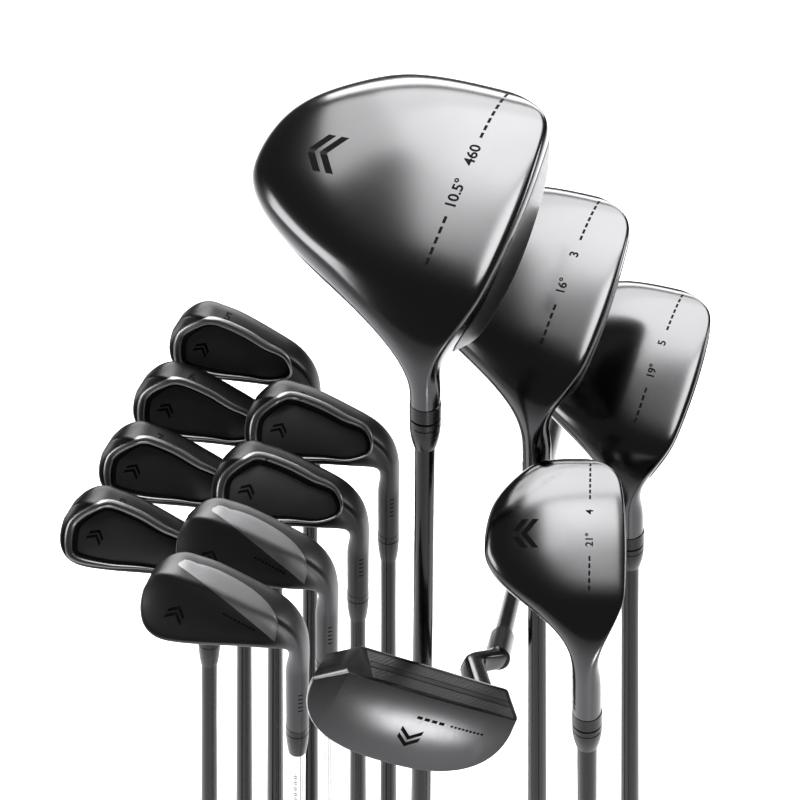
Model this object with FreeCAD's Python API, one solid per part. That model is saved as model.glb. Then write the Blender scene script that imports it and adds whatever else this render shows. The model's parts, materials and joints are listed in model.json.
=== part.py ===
import FreeCAD, Part
import math
import os

Vector = FreeCAD.Vector
Rotation = FreeCAD.Rotation
Placement = FreeCAD.Placement

os.makedirs("parts", exist_ok=True)

# A right-handed set of thirteen golf clubs, stood on the ends of their grips with the heads up.
# Each club is drawn in its own frame: shaft axis on Z, butt end at z = 0, toe to +X, back to +Y.
# A head is drawn in head coordinates (t, b, w): t from heel to toe along the ground line, b from
# face to back, w from sole to crown, with the zero where the shaft axis meets the sole.

# ---------------------------------------------------------------- driving dimensions, mm and deg

# Grips and shafts
GRIP_LENGTH = 267.0
GRIP_BUTT_RADIUS = 13.6
GRIP_TIP_RADIUS = 9.0
GRIP_EDGE_RADIUS = 3.5
GRIP_CAP = 4.0
GRIP_LIP = 0.9
GRIP_ROUND = 9.0
GRIP_MOUTH = 5.0
GRIP_TAPER = ((0.42, 95.0), (0.78, 190.0))
VENT_RADIUS = 1.3
SHAFT_BUTT_RADIUS = 7.6
SHAFT_BUTT_LENGTH = 240.0
SHAFT_TIP_LENGTH = 95.0
SHAFT_WALL = 1.2
WEDGE_STEPS = 8
STEP_START = 60.0
STEP_LENGTH = 3.0

# Hosels and ferrules
WOOD_HOSEL_RADIUS = 6.9
IRON_HOSEL_RADIUS = 6.5
FERRULE_END_GAP = 0.5
WOOD_COLLAR = 8.0
COLLAR_PROUD = 0.35
COLLAR_GAP = 0.6
SHAFT_DEPTH = 26.0

# Woods: wall of the hollow heads, radius kept whole round the hosel where the crown is cut, bulge
# radius of the face, and the face plate's rim, thickness and outline
WOOD_WALL = 1.2
WOOD_HOLLOW_START = 3.0
CROWN_CLEAR = 12.5
CROWN_JOINT = 0.88
CROWN_JOINT_RISE = 3.0
FACE_BULGE = 290.0
FACE_RIM = 0.6
FACE_THICK = 1.8
FACE_HEEL = -5.0
FACE_TOE = 0.90
FACE_POINTS = 28

# Shares up the face, over the crown and back along the sole that the section points stand at, the
# shares towards the toe that the sections stand at, and the turns round the hosel that match the
# points; the blends are (distance to the toe, drop from the neck, share of hosel). WIDEST is the
# share of the crown height where the outline is widest, CROWN_DIP the share back where it peaks
FACE_SHARES = (0.04, 0.30, 0.62, 0.93)
CROWN_SHARES = (0.04, 0.16, 0.34, 0.54, 0.74, 0.90, 0.98)
SOLE_SHARES = (0.97, 0.86, 0.67, 0.46, 0.26, 0.10, 0.02)
BODY_SHARES = (0.12, 0.30, 0.55, 0.82)
TOE_SHARES = (0.06, 0.24, 0.42, 0.58, 0.72, 0.83, 0.91, 0.96, 0.985, 0.998)
HOLLOW_SHARES = (0.0, 0.1, 0.25, 0.5, 0.75, 0.95)
WOOD_BLENDS = ((-12.0, 6.0, 0.80), (-7.0, 12.0, 0.48), (-1.0, 17.0, 0.18))
WIDEST = 0.42
CROWN_DIP = 0.22
NECK_ANGLES = (-52, -22, 12, 44, 62, 80, 98, 116, 134, 150, 164, 180, 195, 210, 226, 242, 258, 274, 290)

# Irons: where along the blade the sole starts to curve up and the toe starts to close, the height
# that the toe closes on, and the turns round the hosel that match the points round the blade.
# The cavity's floor lies behind the face; its nose and stations run heel to toe, its sole and rim
# are the metal left below and above. The blends are (distance to the toe, along the hosel, share)
SOLE_FLAT = 0.55
TOE_START = 0.76
TOE_MIDDLE = 0.52
HOSEL_ANGLES = (-48, -20, 10, 40, 65, 95, 120, 142, 166, 190, 210, 226, 246, 262, 278, 294)
CAVITY_FLOOR = 3.2
CAVITY_NOSE = 4.0
CAVITY_STATIONS = (12.0, 26.0, 42.0, 58.0)
CAVITY_SOLE = 8.6
CAVITY_RIM = 3.8
CAVITY_TOE = ((0.86, 0.18), (0.925, 0.55), (0.86, 0.90))
CAVITY_REACH = 40.0
BLADE_BLENDS = ((-13.0, 35.0, 0.80), (-7.0, 27.0, 0.48), (0.0, 24.0, 0.20))
BLADE_STATIONS = (8.0, 20.0, 36.0)
BLADE_TOE_SHARES = (0.66, 0.76, 0.84, 0.90, 0.95, 0.98, 0.995)
HOSEL_NECK = (50.0, 43.0)

# Every club: length along the shaft, lie, loft, distance from the sole to the shaft end of the
# ferrule, ferrule length, tip radius, stand place x and y of the ferrule end, yaw, sideways lean
# as millimetres of spread per millimetre down
CLUBS = {
    "driver": (1162.5, 58.5, 10.5, 75.0, 25.0, 4.5, 11.0, -22.0, 64.0, 0.0),
    "wood3": (1103.5, 59.0, 16.0, 74.0, 24.0, 4.5, 64.5, 6.0, 64.0, 0.047),
    "wood5": (1048.0, 59.5, 19.0, 74.0, 24.0, 4.5, 114.0, 20.0, 63.5, 0.078),
    "hybrid": (1038.0, 60.0, 21.0, 84.0, 24.0, 4.7, 86.5, -78.0, 85.0, 0.064),
    "iron5": (952.5, 61.5, 27.0, 98.0, 22.0, 4.7, -55.0, 210.0, 168.0, -0.031),
    "iron6": (930.5, 62.0, 30.0, 100.0, 22.0, 4.7, -76.0, 182.0, 168.0, -0.043),
    "iron7": (916.5, 62.5, 34.0, 101.0, 22.0, 4.7, -93.5, 146.0, 168.0, -0.053),
    "iron8": (904.5, 63.0, 38.0, 98.0, 22.0, 4.7, -112.0, 106.0, 168.0, -0.065),
    "iron9": (930.0, 63.5, 42.0, 101.0, 22.0, 4.7, -7.0, 169.0, 168.0, -0.004),
    "pitching": (916.5, 64.0, 46.0, 100.0, 22.0, 4.7, -25.0, 132.0, 168.0, -0.014),
    "wedge52": (912.0, 64.0, 52.0, 106.0, 22.0, 4.7, -42.5, 89.0, 168.0, -0.025),
    "wedge56": (913.5, 64.0, 56.0, 114.0, 22.0, 4.7, -58.0, 45.0, 168.0, -0.035),
}

# Hollow heads: toe end, front of the face, depth face to back, crown height, height of the back
# edge, distance from the shaft axis where the head is deepest, height where the neck swells
WOODS = {
    "driver": (115.0, -17.0, 132.0, 64.0, 26.0, 50.0, 42.0),
    "wood3": (98.0, -15.0, 99.0, 42.0, 16.0, 40.0, 37.0),
    "wood5": (91.0, -14.0, 88.0, 39.0, 14.0, 37.0, 37.0),
    "hybrid": (77.0, -12.0, 59.0, 34.0, 12.0, 32.0, 38.0),
}

# Blades: toe end, heel height, toe height (both up the face), sole width, topline width,
# leading edge ahead of the shaft axis
BLADES = {
    "iron5": (75.5, 27.5, 50.0, 18.0, 5.0, 4.6),
    "iron6": (75.5, 27.5, 50.5, 18.0, 5.0, 4.8),
    "iron7": (75.5, 28.0, 51.0, 18.5, 5.2, 5.0),
    "iron8": (75.5, 28.5, 51.5, 18.5, 5.2, 5.2),
    "iron9": (76.0, 29.0, 52.0, 19.0, 5.2, 5.4),
    "pitching": (76.0, 29.0, 52.0, 19.5, 5.2, 5.6),
    "wedge52": (76.5, 29.5, 52.0, 20.0, 4.6, 5.8),
    "wedge56": (77.0, 30.0, 52.5, 21.0, 4.6, 6.0),
}

# Middle of the base of the whole set's box: the origin of every finished piece
SET_MIDDLE = (8.25, 316.0, 0.0)

# Putter: it lies back through the set, so its heel point, shaft axis (butt to head) and the
# direction square to the shaft that points to the toe are given in the set's own frame
PUTTER_LENGTH = 850.0
PUTTER_LIE = 70.0
PUTTER_HEEL_POINT = (37.5, -67.0, 951.0)
PUTTER_AXIS = (-0.160, -0.925, 0.344)
PUTTER_TOE_WAY = (-0.893, 0.285, 0.351)
PUTTER_WIDTH = 105.0
PUTTER_DEPTH = 43.0
PUTTER_HEIGHT = 27.0
PUTTER_HEEL = -18.0
PUTTER_FRONT = -8.0
PUTTER_SHOULDER = 9.0
PUTTER_TOE_CUT = 13.0
PUTTER_TOE_TAPER = 12.0
PUTTER_SOLE_INSET = 3.0
PUTTER_SOLE_EDGE = 4.5
PUTTER_TIP_RADIUS = 4.7
PUTTER_NECK = 11.0
PUTTER_NECK_T = -8.0
PUTTER_NECK_B = 1.5
PUTTER_NECK_HEIGHT = 30.0
PUTTER_NECK_BEND = 70.0
PUTTER_BOSS_RADIUS = 6.6
PUTTER_BOSS_LENGTH = 24.0
PUTTER_TIP_GAP = 2.0
PUTTER_INSERT = 1.5
PUTTER_INSERT_MARGIN = 3.0
PUTTER_GRIP_FLAT = -8.5
PUTTER_FLAT_START = 12.0


# ---------------------------------------------------------------------------------- helpers

def signed_power(value, exponent):
    return math.copysign(abs(value) ** exponent, value)


def mix(first, second, share):
    return first + (second - first) * share


def smooth(share):
    share = min(max(share, 0.0), 1.0)
    return share * share * (3.0 - 2.0 * share)


def closed_wire(points):
    curve = Part.BSplineCurve()
    curve.interpolate(Points=points, PeriodicFlag=True)
    return Part.Wire([curve.toShape()])


def skin(rows):
    """Closed solid over rows of points: a cubic surface, closed round each row, flat end caps."""
    around = len(rows[0])
    along = len(rows)
    poles = [[row[index] for row in rows] for index in range(around)]
    surface = Part.BSplineSurface()
    surface.buildFromPolesMultsKnots(
        poles, [1] * (around + 1), [4] + [1] * (along - 4) + [4],
        list(range(around + 1)), list(range(along - 2)), True, False, 3, 3)
    side = surface.toShape()
    caps = [Part.Face(Part.Wire([edge])) for edge in side.Edges
            if edge.valueAt(edge.FirstParameter).isEqual(edge.valueAt(edge.LastParameter), 1e-6)]
    shell = Part.makeShell([side] + caps)
    shell.sewShape()
    solid = Part.makeSolid(shell)
    if solid.Volume < 0:
        solid.reverse()
    return solid


def revolve_profile(points):
    """A solid of revolution about Z from (radius, z) points, closed along the axis."""
    corners = [Vector(radius, 0, z) for radius, z in points]
    corners.append(corners[0])
    return Part.Face(Part.makePolygon(corners)).revolve(Vector(0, 0, 0), Vector(0, 0, 1), 360)


def head_frame(length, lie):
    """Placement that takes head coordinates (t, b, w) into the club's own frame."""
    lie = math.radians(lie)
    toe = Vector(math.sin(lie), 0, math.cos(lie))
    back = Vector(0, 1, 0)
    up = Vector(math.cos(lie), 0, -math.sin(lie))
    # (t, b, w) is left-handed once the club hangs upside down, so w is carried as -w
    matrix = FreeCAD.Matrix(
        toe.x, back.x, -up.x, 0,
        toe.y, back.y, -up.y, 0,
        toe.z, back.z, -up.z, length,
        0, 0, 0, 1)
    return Placement(matrix)


def head_point(t, b, w):
    return Vector(t, b, -w)


def shaft_circle(name, along, radius, turns):
    """Points round the shaft axis at a distance up from the sole, in head coordinates."""
    lie = math.radians(CLUBS[name][1])
    points = []
    for turn in turns:
        inner = radius * math.sin(math.radians(turn))
        ahead = radius * math.cos(math.radians(turn))
        points.append(head_point(-along * math.cos(lie) + inner * math.sin(lie), -ahead,
                                 along * math.sin(lie) + inner * math.cos(lie)))
    return points


def turned_section(first, second, lie, share):
    """Flat section between a head section and a hosel circle, on a plane that turns with the share."""
    points = [a + (b - a) * share for a, b in zip(first, second)]
    turn = mix(0.0, math.radians(lie), share)
    normal = Vector(math.cos(turn), 0, math.sin(turn))
    centre = Vector(0, 0, 0)
    for point in points:
        centre = centre + point * (1.0 / len(points))
    return [point - normal * (point - centre).dot(normal) for point in points]


def export(node, shape):
    if len(shape.Solids) == 1:
        shape = shape.Solids[0]
    shape.exportStep("parts/" + node + ".step")
    print(node, "valid", shape.isValid(), "solids", len(shape.Solids), "cm3",
          round(shape.Volume / 1000.0, 2))


# ---------------------------------------------------------------------------- shaft and grip

def shaft_outline(top, tip_radius, steps):
    """(radius, z) points up the outside, smooth or in drawn steps."""
    bottom = GRIP_CAP
    start = SHAFT_BUTT_LENGTH
    end = top - SHAFT_TIP_LENGTH
    points = [(SHAFT_BUTT_RADIUS, bottom), (SHAFT_BUTT_RADIUS, start)]
    for step in range(steps):
        low = mix(start + STEP_START, end, step / steps)
        radius = mix(SHAFT_BUTT_RADIUS, tip_radius, step / steps)
        next_radius = mix(SHAFT_BUTT_RADIUS, tip_radius, (step + 1) / steps)
        points += [(radius, low), (next_radius, low + STEP_LENGTH)]
    points += [(tip_radius, end), (tip_radius, top)]
    return points


def make_shaft(top, tip_radius, steps):
    outside = shaft_outline(top, tip_radius, steps)
    solid = revolve_profile([(0, outside[0][1])] + outside + [(0, top)])
    inside = [(radius - SHAFT_WALL, z) for radius, z in outside]
    bore = revolve_profile([(0, GRIP_CAP)] + inside + [(0, top)])
    return solid, solid.cut(bore)


def make_grip(core, flat):
    """Rubber sleeve with a domed cap, bored for the shaft; a putter's has a flat along it."""
    length = GRIP_LENGTH
    butt = GRIP_BUTT_RADIUS
    edge = GRIP_EDGE_RADIUS
    points = [(0, 0), (butt - edge, 0)]
    for turn in (30, 60, 90):
        angle = math.radians(turn)
        points.append((butt - edge + edge * math.sin(angle), edge - edge * math.cos(angle)))
    points += [(butt, GRIP_ROUND), (butt - GRIP_LIP, GRIP_ROUND + GRIP_MOUTH)]
    points += [(mix(butt, GRIP_TIP_RADIUS, share), z) for share, z in GRIP_TAPER]
    points += [(GRIP_TIP_RADIUS + 0.3, length - GRIP_MOUTH), (GRIP_TIP_RADIUS - 0.3, length), (0, length)]
    sleeve = revolve_profile(points)
    if flat:
        corner = Vector(-2 * butt, flat - 2 * butt, PUTTER_FLAT_START)
        sleeve = sleeve.cut(Part.makeBox(4 * butt, 2 * butt, length, corner))
    sleeve = sleeve.cut(core)
    return sleeve.cut(Part.makeCylinder(VENT_RADIUS, GRIP_CAP + 1.0, Vector(0, 0, -0.5)))


# -------------------------------------------------------------------------------- ferrules

def make_ferrule(base, length, radius, tip_radius, collar, core):
    """Tapered sleeve on the shaft, from the hosel down; woods add a straight collar band."""
    z = base
    parts = []
    if collar:
        wide = radius + COLLAR_PROUD
        band = revolve_profile([(0, z), (wide, z), (wide, z - collar), (0, z - collar)])
        parts.append(band.cut(core))
        z -= collar + COLLAR_GAP
        length -= collar + COLLAR_GAP
    end = tip_radius + FERRULE_END_GAP
    profile = [(0, z), (radius, z), (radius, z - 0.25 * length), (radius - 0.5, z - 0.5 * length),
               (mix(radius, end, 0.7), z - 0.85 * length), (end, z - length), (0, z - length)]
    parts.append(revolve_profile(profile).cut(core))
    return Part.makeCompound(parts) if len(parts) > 1 else parts[0]


# --------------------------------------------------------------------- hollow wooden-style heads

def wood_section(name, t, inset):
    """Closed row of points round a wood head at a distance t towards the toe."""
    toe, front, depth, crown, tail, deepest = WOODS[name][:6]
    loft = math.radians(CLUBS[name][2])
    toe = toe - inset
    start = -0.45 * deepest
    if t < deepest:
        reach = max((t - start) / (deepest - start), 0.0)
        behind = depth * math.sin(0.5 * math.pi * reach ** 1.1)
        top = crown * mix(0.60, 1.0, smooth((t + 0.5 * deepest) / (1.5 * deepest)))
        bottom = 0.011 * max(0.4 * deepest - t, 0.0) ** 2
        near = front + 0.022 * max(10.0 - t, 0.0) ** 2
        middle = mix(bottom, top, WIDEST)
    else:
        reach = (t - deepest) / (toe - deepest)
        middle = WIDEST * crown
        behind = depth * (1.0 - reach ** 2.6) ** (1 / 2.35)
        top = middle + (crown - middle) * (1.0 - reach ** 2.6) ** (1 / 2.4)
        bottom = middle * (1.0 - (1.0 - reach ** 3.0) ** (1 / 2.6))
        near = front + 0.22 * depth * max((reach - 0.7) / 0.3, 0.0) ** 2.5
    near = near + (t - deepest) ** 2 / (2 * FACE_BULGE) + inset
    behind = max(behind - 2 * inset, 1.0)
    top = max(top - inset, middle + 0.5)
    bottom = min(bottom + inset, middle - 0.5)
    edge = mix(bottom, top, tail / crown)

    def crown_height(share):
        fall = max(share - CROWN_DIP, 0.0) / (1.0 - CROWN_DIP)
        dip = 0.07 * max(1.0 - share / CROWN_DIP, 0.0) ** 2
        return edge + (top - edge) * ((1.0 - fall ** 2) ** 0.5 - dip)

    def sole_height(share):
        sink = max(share - 0.12, 0.0) / 0.88
        return bottom + (edge - bottom) * (1.0 - (1.0 - sink ** 2.3) ** (1 / 2.3))

    def lean(w):
        return (w - 0.45 * crown) * math.tan(loft)

    face_top = crown_height(0.0)
    points = []
    for share in FACE_SHARES:
        w = mix(bottom, face_top, share)
        points.append((near + lean(w), w))
    for share in CROWN_SHARES:
        w = crown_height(share)
        points.append((near + share * behind + (1.0 - share) ** 2 * lean(w), w))
    points.append((near + behind, edge))
    for share in SOLE_SHARES:
        w = sole_height(share)
        points.append((near + share * behind + (1.0 - share) ** 2 * lean(w), w))
    return [head_point(t, b, w) for b, w in points]


def wood_neck(name, along):
    """Circle of the same number of points round the shaft axis of a wood."""
    return shaft_circle(name, along, WOOD_HOSEL_RADIUS, NECK_ANGLES)


def wood_sections(name):
    deepest, neck = WOODS[name][5:7]
    end = CLUBS[name][3] - CLUBS[name][4]
    lie = CLUBS[name][1]
    rows = [wood_neck(name, end), wood_neck(name, mix(end, neck, 0.5)), wood_neck(name, neck)]
    for t, drop, share in WOOD_BLENDS:
        circle = wood_neck(name, neck - drop)
        rows.append(turned_section(wood_section(name, t, 0.0), circle, lie, share))
    for share in BODY_SHARES:
        rows.append(wood_section(name, share * deepest + 2.0, 0.0))
    return rows + wood_toe(name, 0.0)


def wood_toe(name, inset):
    toe = WOODS[name][0] - inset
    deepest = WOODS[name][5]
    return [wood_section(name, mix(deepest, toe, share), inset) for share in TOE_SHARES]


def wood_hollow(name):
    deepest = WOODS[name][5]
    rows = [wood_section(name, mix(WOOD_HOLLOW_START, deepest, share), WOOD_WALL)
            for share in HOLLOW_SHARES]
    return skin(rows + wood_toe(name, WOOD_WALL))


def face_outline(name, b):
    """Closed outline of the face plate, drawn square to the back direction at b."""
    crown = WOODS[name][3]
    low = FACE_HEEL
    high = FACE_TOE * WOODS[name][0]
    points = []
    for index in range(FACE_POINTS):
        angle = 2 * math.pi * index / FACE_POINTS
        across = signed_power(math.cos(angle), 0.85)
        upward = signed_power(math.sin(angle), 0.85)
        height = 0.47 + 0.03 * across + (0.36 + 0.03 * across) * upward
        points.append(head_point(mix(low, high, 0.5 + 0.5 * across), b, height * crown))
    return closed_wire(points)


def make_wood(name, core):
    """Body shell with its hosel, crown shell and face plate of a hollow head, in the club frame."""
    length, lie = CLUBS[name][:2]
    end, ferrule = CLUBS[name][3:5]
    front, depth, crown, tail = WOODS[name][1:5]
    outer = skin(wood_sections(name))
    inner = wood_hollow(name)
    # face plate: a sheet that follows the front of the head inside its outline
    slot = Part.Face(face_outline(name, front - 25.0)).extrude(Vector(0, 60.0, 0))
    ahead = outer.copy()
    ahead.translate(Vector(0, -FACE_RIM, 0))
    behind = outer.copy()
    behind.translate(Vector(0, FACE_THICK, 0))
    face = ahead.common(slot).cut(behind)
    shell = outer.cut(inner).cut(face)
    # the crown joint runs from under the top of the face down to the back edge
    joint_front = CROWN_JOINT * crown
    joint_back = tail + CROWN_JOINT_RISE
    slope = math.atan2(joint_front - joint_back, depth)
    above = Part.makeBox(400, 400, 200, Vector(-200, -200, -200))
    above.Placement = Placement(head_point(0, front, joint_front),
                                Rotation(Vector(1, 0, 0), math.degrees(slope)))
    place = head_frame(length, lie)
    for shape in (shell, above, inner, face):
        shape.Placement = place.multiply(shape.Placement)
    around = Part.makeCylinder(CROWN_CLEAR, 2 * end, Vector(0, 0, length - 2 * end))
    above = above.cut(around)
    crown_shell = shell.common(above)
    body = shell.cut(above)
    sleeve = Part.makeCylinder(WOOD_HOSEL_RADIUS, SHAFT_DEPTH, Vector(0, 0, length - end + ferrule))
    body = body.fuse(sleeve.common(inner)).cut(core)
    return {"body": body, "crown": crown_shell, "face": face}


# --------------------------------------------------------------------------- irons and wedges

def blade_limits(name, t):
    """Lower and upper ends of the blade up the face at a distance t towards the toe."""
    toe_end, heel_height, toe_height = BLADES[name][:3]
    rise = t / (TOE_START * toe_end)
    top = mix(heel_height, toe_height, 0.55 * smooth(rise) + 0.45 * rise)
    low = 0.0
    if t < 8.0:
        low = 0.016 * (8.0 - t) ** 2
    if t > SOLE_FLAT * toe_end:
        low = 2.5 * ((t - SOLE_FLAT * toe_end) / ((TOE_START - SOLE_FLAT) * toe_end)) ** 2
    return low, top


def blade_section(name, t):
    """Closed row of points round the blade; past the toe's start it shrinks about its middle."""
    toe_end = BLADES[name][0]
    toe_height, sole, topline, lead = BLADES[name][2:6]
    loft = math.radians(CLUBS[name][2])
    start = min(t, TOE_START * toe_end)
    low, top = blade_limits(name, start)
    sole = sole * (0.84 + 0.16 * smooth((start + 5.0) / 35.0))

    def on_face(height, depth):
        b = -lead + height * math.sin(loft) + depth * math.cos(loft)
        w = height * math.cos(loft) - depth * math.sin(loft)
        return b, w

    rows = [on_face(mix(low, top, share), 0.0) for share in (0.06, 0.35, 0.65, 0.93)]
    rows += [on_face(top, 0.35 * topline), on_face(top - 0.4, topline)]
    edge_b, edge_w = on_face(low, 0.0)
    trail = (edge_b + sole, edge_w + 3.4)
    back_top = on_face(top - 4.0, topline + 0.5)
    for share in (0.0, 0.3, 0.62, 0.88):
        sag = 1.2 * math.sin(math.pi * share)
        rows.append((mix(back_top[0], trail[0], share) - sag * math.cos(loft),
                     mix(back_top[1], trail[1], share) + sag * math.sin(loft)))
    rows.append((trail[0], trail[1] - 0.6))
    rows.append((trail[0] - 1.6, trail[1] - 2.8))
    rows.append((mix(edge_b, trail[0], 0.62), edge_w - 0.2))
    rows.append((mix(edge_b, trail[0], 0.30), edge_w - 0.5))
    rows.append((edge_b + 1.0, edge_w + 0.1))
    rows.append((edge_b + 0.1, edge_w + 1.0))
    if t > start:
        reach = (t - start) / (toe_end - start)
        size = (1.0 - reach ** 2.3) ** (1 / 2.1)
        middle = on_face(TOE_MIDDLE * toe_height, 0.35 * topline)
        rows = [(mix(middle[0], b, size), mix(middle[1], w, size)) for b, w in rows]
    return [head_point(t, b, w) for b, w in rows]


def hosel_section(name, along):
    """Circle of the same number of points round the shaft axis, at a distance from the sole."""
    return shaft_circle(name, along, IRON_HOSEL_RADIUS, HOSEL_ANGLES)


def blended_section(name, t, along, share):
    lie = CLUBS[name][1]
    return turned_section(blade_section(name, t), hosel_section(name, along), lie, share)


def iron_sections(name):
    toe_end = BLADES[name][0]
    end = CLUBS[name][3] - CLUBS[name][4]
    rows = [hosel_section(name, along) for along in (end, end - 12.0) + HOSEL_NECK]
    rows += [blended_section(name, t, along, share) for t, along, share in BLADE_BLENDS]
    rows += [blade_section(name, t) for t in BLADE_STATIONS]
    rows += [blade_section(name, share * toe_end) for share in BLADE_TOE_SHARES]
    return rows


def cavity_outline(name):
    """Outline of the back cavity, points (t, height up the face) from heel to toe and back."""
    toe_end = BLADES[name][0]
    lower = []
    upper = []
    for t in CAVITY_STATIONS:
        low, top = blade_limits(name, t)
        lower.append((t, low + CAVITY_SOLE))
        upper.append((t, top - CAVITY_RIM))
    nose = [(CAVITY_NOSE, mix(lower[0][1], upper[0][1], 0.5))]
    far = lower[-1][1], upper[-1][1]
    toe = [(reach * toe_end, mix(*far, share)) for reach, share in CAVITY_TOE]
    return nose + lower + toe + upper[::-1]


def cavity_cutter(name, depth_from, depth_to):
    """Pocket from behind the blade down to a floor parallel to the face."""
    loft = math.radians(CLUBS[name][2])
    lead = BLADES[name][5]
    rows = []
    for t, height in cavity_outline(name):
        b = -lead + height * math.sin(loft) + depth_from * math.cos(loft)
        w = height * math.cos(loft) - depth_from * math.sin(loft)
        rows.append(head_point(t, b, w))
    normal = Vector(0, math.cos(loft), math.sin(loft))
    return Part.Face(closed_wire(rows)).extrude(normal * (depth_to - depth_from))


def make_iron(name, core, cavity):
    length, lie = CLUBS[name][:2]
    head = skin(iron_sections(name))
    if cavity:
        head = head.cut(cavity_cutter(name, CAVITY_FLOOR, CAVITY_REACH))
    head.Placement = head_frame(length, lie)
    return head.cut(core)


# ------------------------------------------------------------------------------------ putter

def half_moon(inset, w):
    """Half-moon outline at height w: straight front edge, round back."""
    heel = PUTTER_HEEL + inset
    toe = PUTTER_HEEL + PUTTER_WIDTH - inset - PUTTER_TOE_TAPER * w / PUTTER_HEIGHT
    behind = PUTTER_DEPTH - PUTTER_SHOULDER - inset
    middle = (heel + toe) / 2.0
    half = (toe - heel) / 2.0
    front_heel = head_point(heel + 1.0, PUTTER_FRONT, w)
    front_toe = head_point(toe - PUTTER_TOE_CUT, PUTTER_FRONT, w)
    back_points = [front_toe]
    for index in range(13):
        angle = math.pi * index / 12.0
        across = signed_power(math.cos(angle), 0.8)
        back = PUTTER_FRONT + PUTTER_SHOULDER + behind * math.sin(angle) ** 0.85
        back_points.append(head_point(middle + half * across, back, w))
    back_points.append(front_heel)
    back_curve = Part.BSplineCurve()
    back_curve.interpolate(back_points)
    return Part.Wire([Part.makeLine(front_heel, front_toe), back_curve.toShape()])


def square_row(centre, across, behind, size):
    """Square outline of side size about a centre, on the two given directions."""
    half = size / 2.0
    corners = [centre + across * (half * i) + behind * (half * j)
               for i, j in ((-1, -1), (1, -1), (1, 1), (-1, 1), (-1, -1))]
    return Part.makePolygon(corners)


def make_putter(core):
    """Half-moon head with a plumber's neck, and the face insert, in the club frame."""
    place = head_frame(PUTTER_LENGTH, PUTTER_LIE)
    rows = [half_moon(PUTTER_SOLE_INSET, 0.0), half_moon(0.0, PUTTER_SOLE_EDGE),
            half_moon(0.0, PUTTER_HEIGHT)]
    body = Part.makeLoft(rows, True, True)
    margin = PUTTER_INSERT_MARGIN
    corner = Vector(PUTTER_HEEL + margin, PUTTER_FRONT, -PUTTER_HEIGHT + margin - 1.0)
    face_width = PUTTER_WIDTH - PUTTER_TOE_CUT - PUTTER_TOE_TAPER
    size = (face_width - 2 * margin, PUTTER_INSERT, PUTTER_HEIGHT - 2 * margin + 1.0)
    insert = Part.makeBox(size[0], size[1], size[2], corner)
    body = body.cut(insert)
    # plumber's neck: a square post, a bend, and a round boss on the shaft's axis
    lie = math.radians(PUTTER_LIE)
    along_t = Vector(1, 0, 0)
    along_b = Vector(0, 1, 0)
    axis = Vector(-math.cos(lie), 0, -math.sin(lie))
    square_to_axis = Vector(math.sin(lie), 0, -math.cos(lie))
    foot = head_point(PUTTER_NECK_T, PUTTER_NECK_B, PUTTER_HEIGHT - 1.0)
    top = head_point(PUTTER_NECK_T, PUTTER_NECK_B, PUTTER_HEIGHT + PUTTER_NECK_HEIGHT)
    bend = axis * PUTTER_NECK_BEND
    foot_row = square_row(foot, along_t, along_b, PUTTER_NECK)
    top_row = square_row(top, along_t, along_b, PUTTER_NECK)
    bend_row = square_row(bend, square_to_axis, along_b, PUTTER_NECK)
    post = Part.makeLoft([foot_row, top_row], True, True)
    knee = Part.makeLoft([top_row, bend_row], True, True)
    boss = Part.makeCylinder(PUTTER_BOSS_RADIUS, PUTTER_BOSS_LENGTH, bend, axis)
    body = body.fuse([post, knee, boss]).removeSplitter()
    body.Placement = place
    insert.Placement = place
    return body.cut(core), insert


def putter_place():
    """The putter's own frame in the set: shaft axis, toe way, and the butt at the origin."""
    axis = Vector(*PUTTER_AXIS).normalize()
    toe_way = Vector(*PUTTER_TOE_WAY)
    toe_way = (toe_way - axis * toe_way.dot(axis)).normalize()
    back_way = axis.cross(toe_way)
    butt = Vector(*PUTTER_HEEL_POINT) - axis * PUTTER_LENGTH
    return Placement(FreeCAD.Matrix(
        toe_way.x, back_way.x, axis.x, butt.x,
        toe_way.y, back_way.y, axis.y, butt.y,
        toe_way.z, back_way.z, axis.z, butt.z,
        0, 0, 0, 1))


# --------------------------------------------------------------------------- standing the clubs

def club_place(name):
    """Where a club stands: its ferrule end over (x, y), turned by its yaw and leaning sideways."""
    length = CLUBS[name][0]
    end = CLUBS[name][3]
    x, y, yaw, spread = CLUBS[name][6:10]
    lean = math.atan(spread)
    sideways = Rotation(Vector(0, 1, 0), -math.degrees(lean))
    rotation = sideways.multiply(Rotation(Vector(0, 0, 1), yaw))
    edge = GRIP_EDGE_RADIUS
    lift = (GRIP_BUTT_RADIUS - edge) * math.sin(abs(lean)) + edge * (1.0 - math.cos(lean))
    butt = Vector(x + spread * (length - end) * math.cos(lean), y, lift)
    return Placement(butt, rotation)


def build_club(name):
    length = CLUBS[name][0]
    end, ferrule, tip = CLUBS[name][3:6]
    place = club_place(name)
    steps = WEDGE_STEPS if name.startswith("wedge") else 0
    hosel_base = length - end + ferrule
    core, shaft = make_shaft(hosel_base + SHAFT_DEPTH, tip, steps)
    pieces = {"shaft": shaft, "grip": make_grip(core, 0.0)}
    if name in WOODS:
        pieces.update(make_wood(name, core))
        radius = WOOD_HOSEL_RADIUS
        collar = WOOD_COLLAR
    else:
        pieces["head"] = make_iron(name, core, name.startswith("iron") or name == "pitching")
        radius = IRON_HOSEL_RADIUS
        collar = 0.0
    pieces["ferrule"] = make_ferrule(hosel_base, ferrule, radius, tip, collar, core)
    export_pieces(name, pieces, place)


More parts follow.
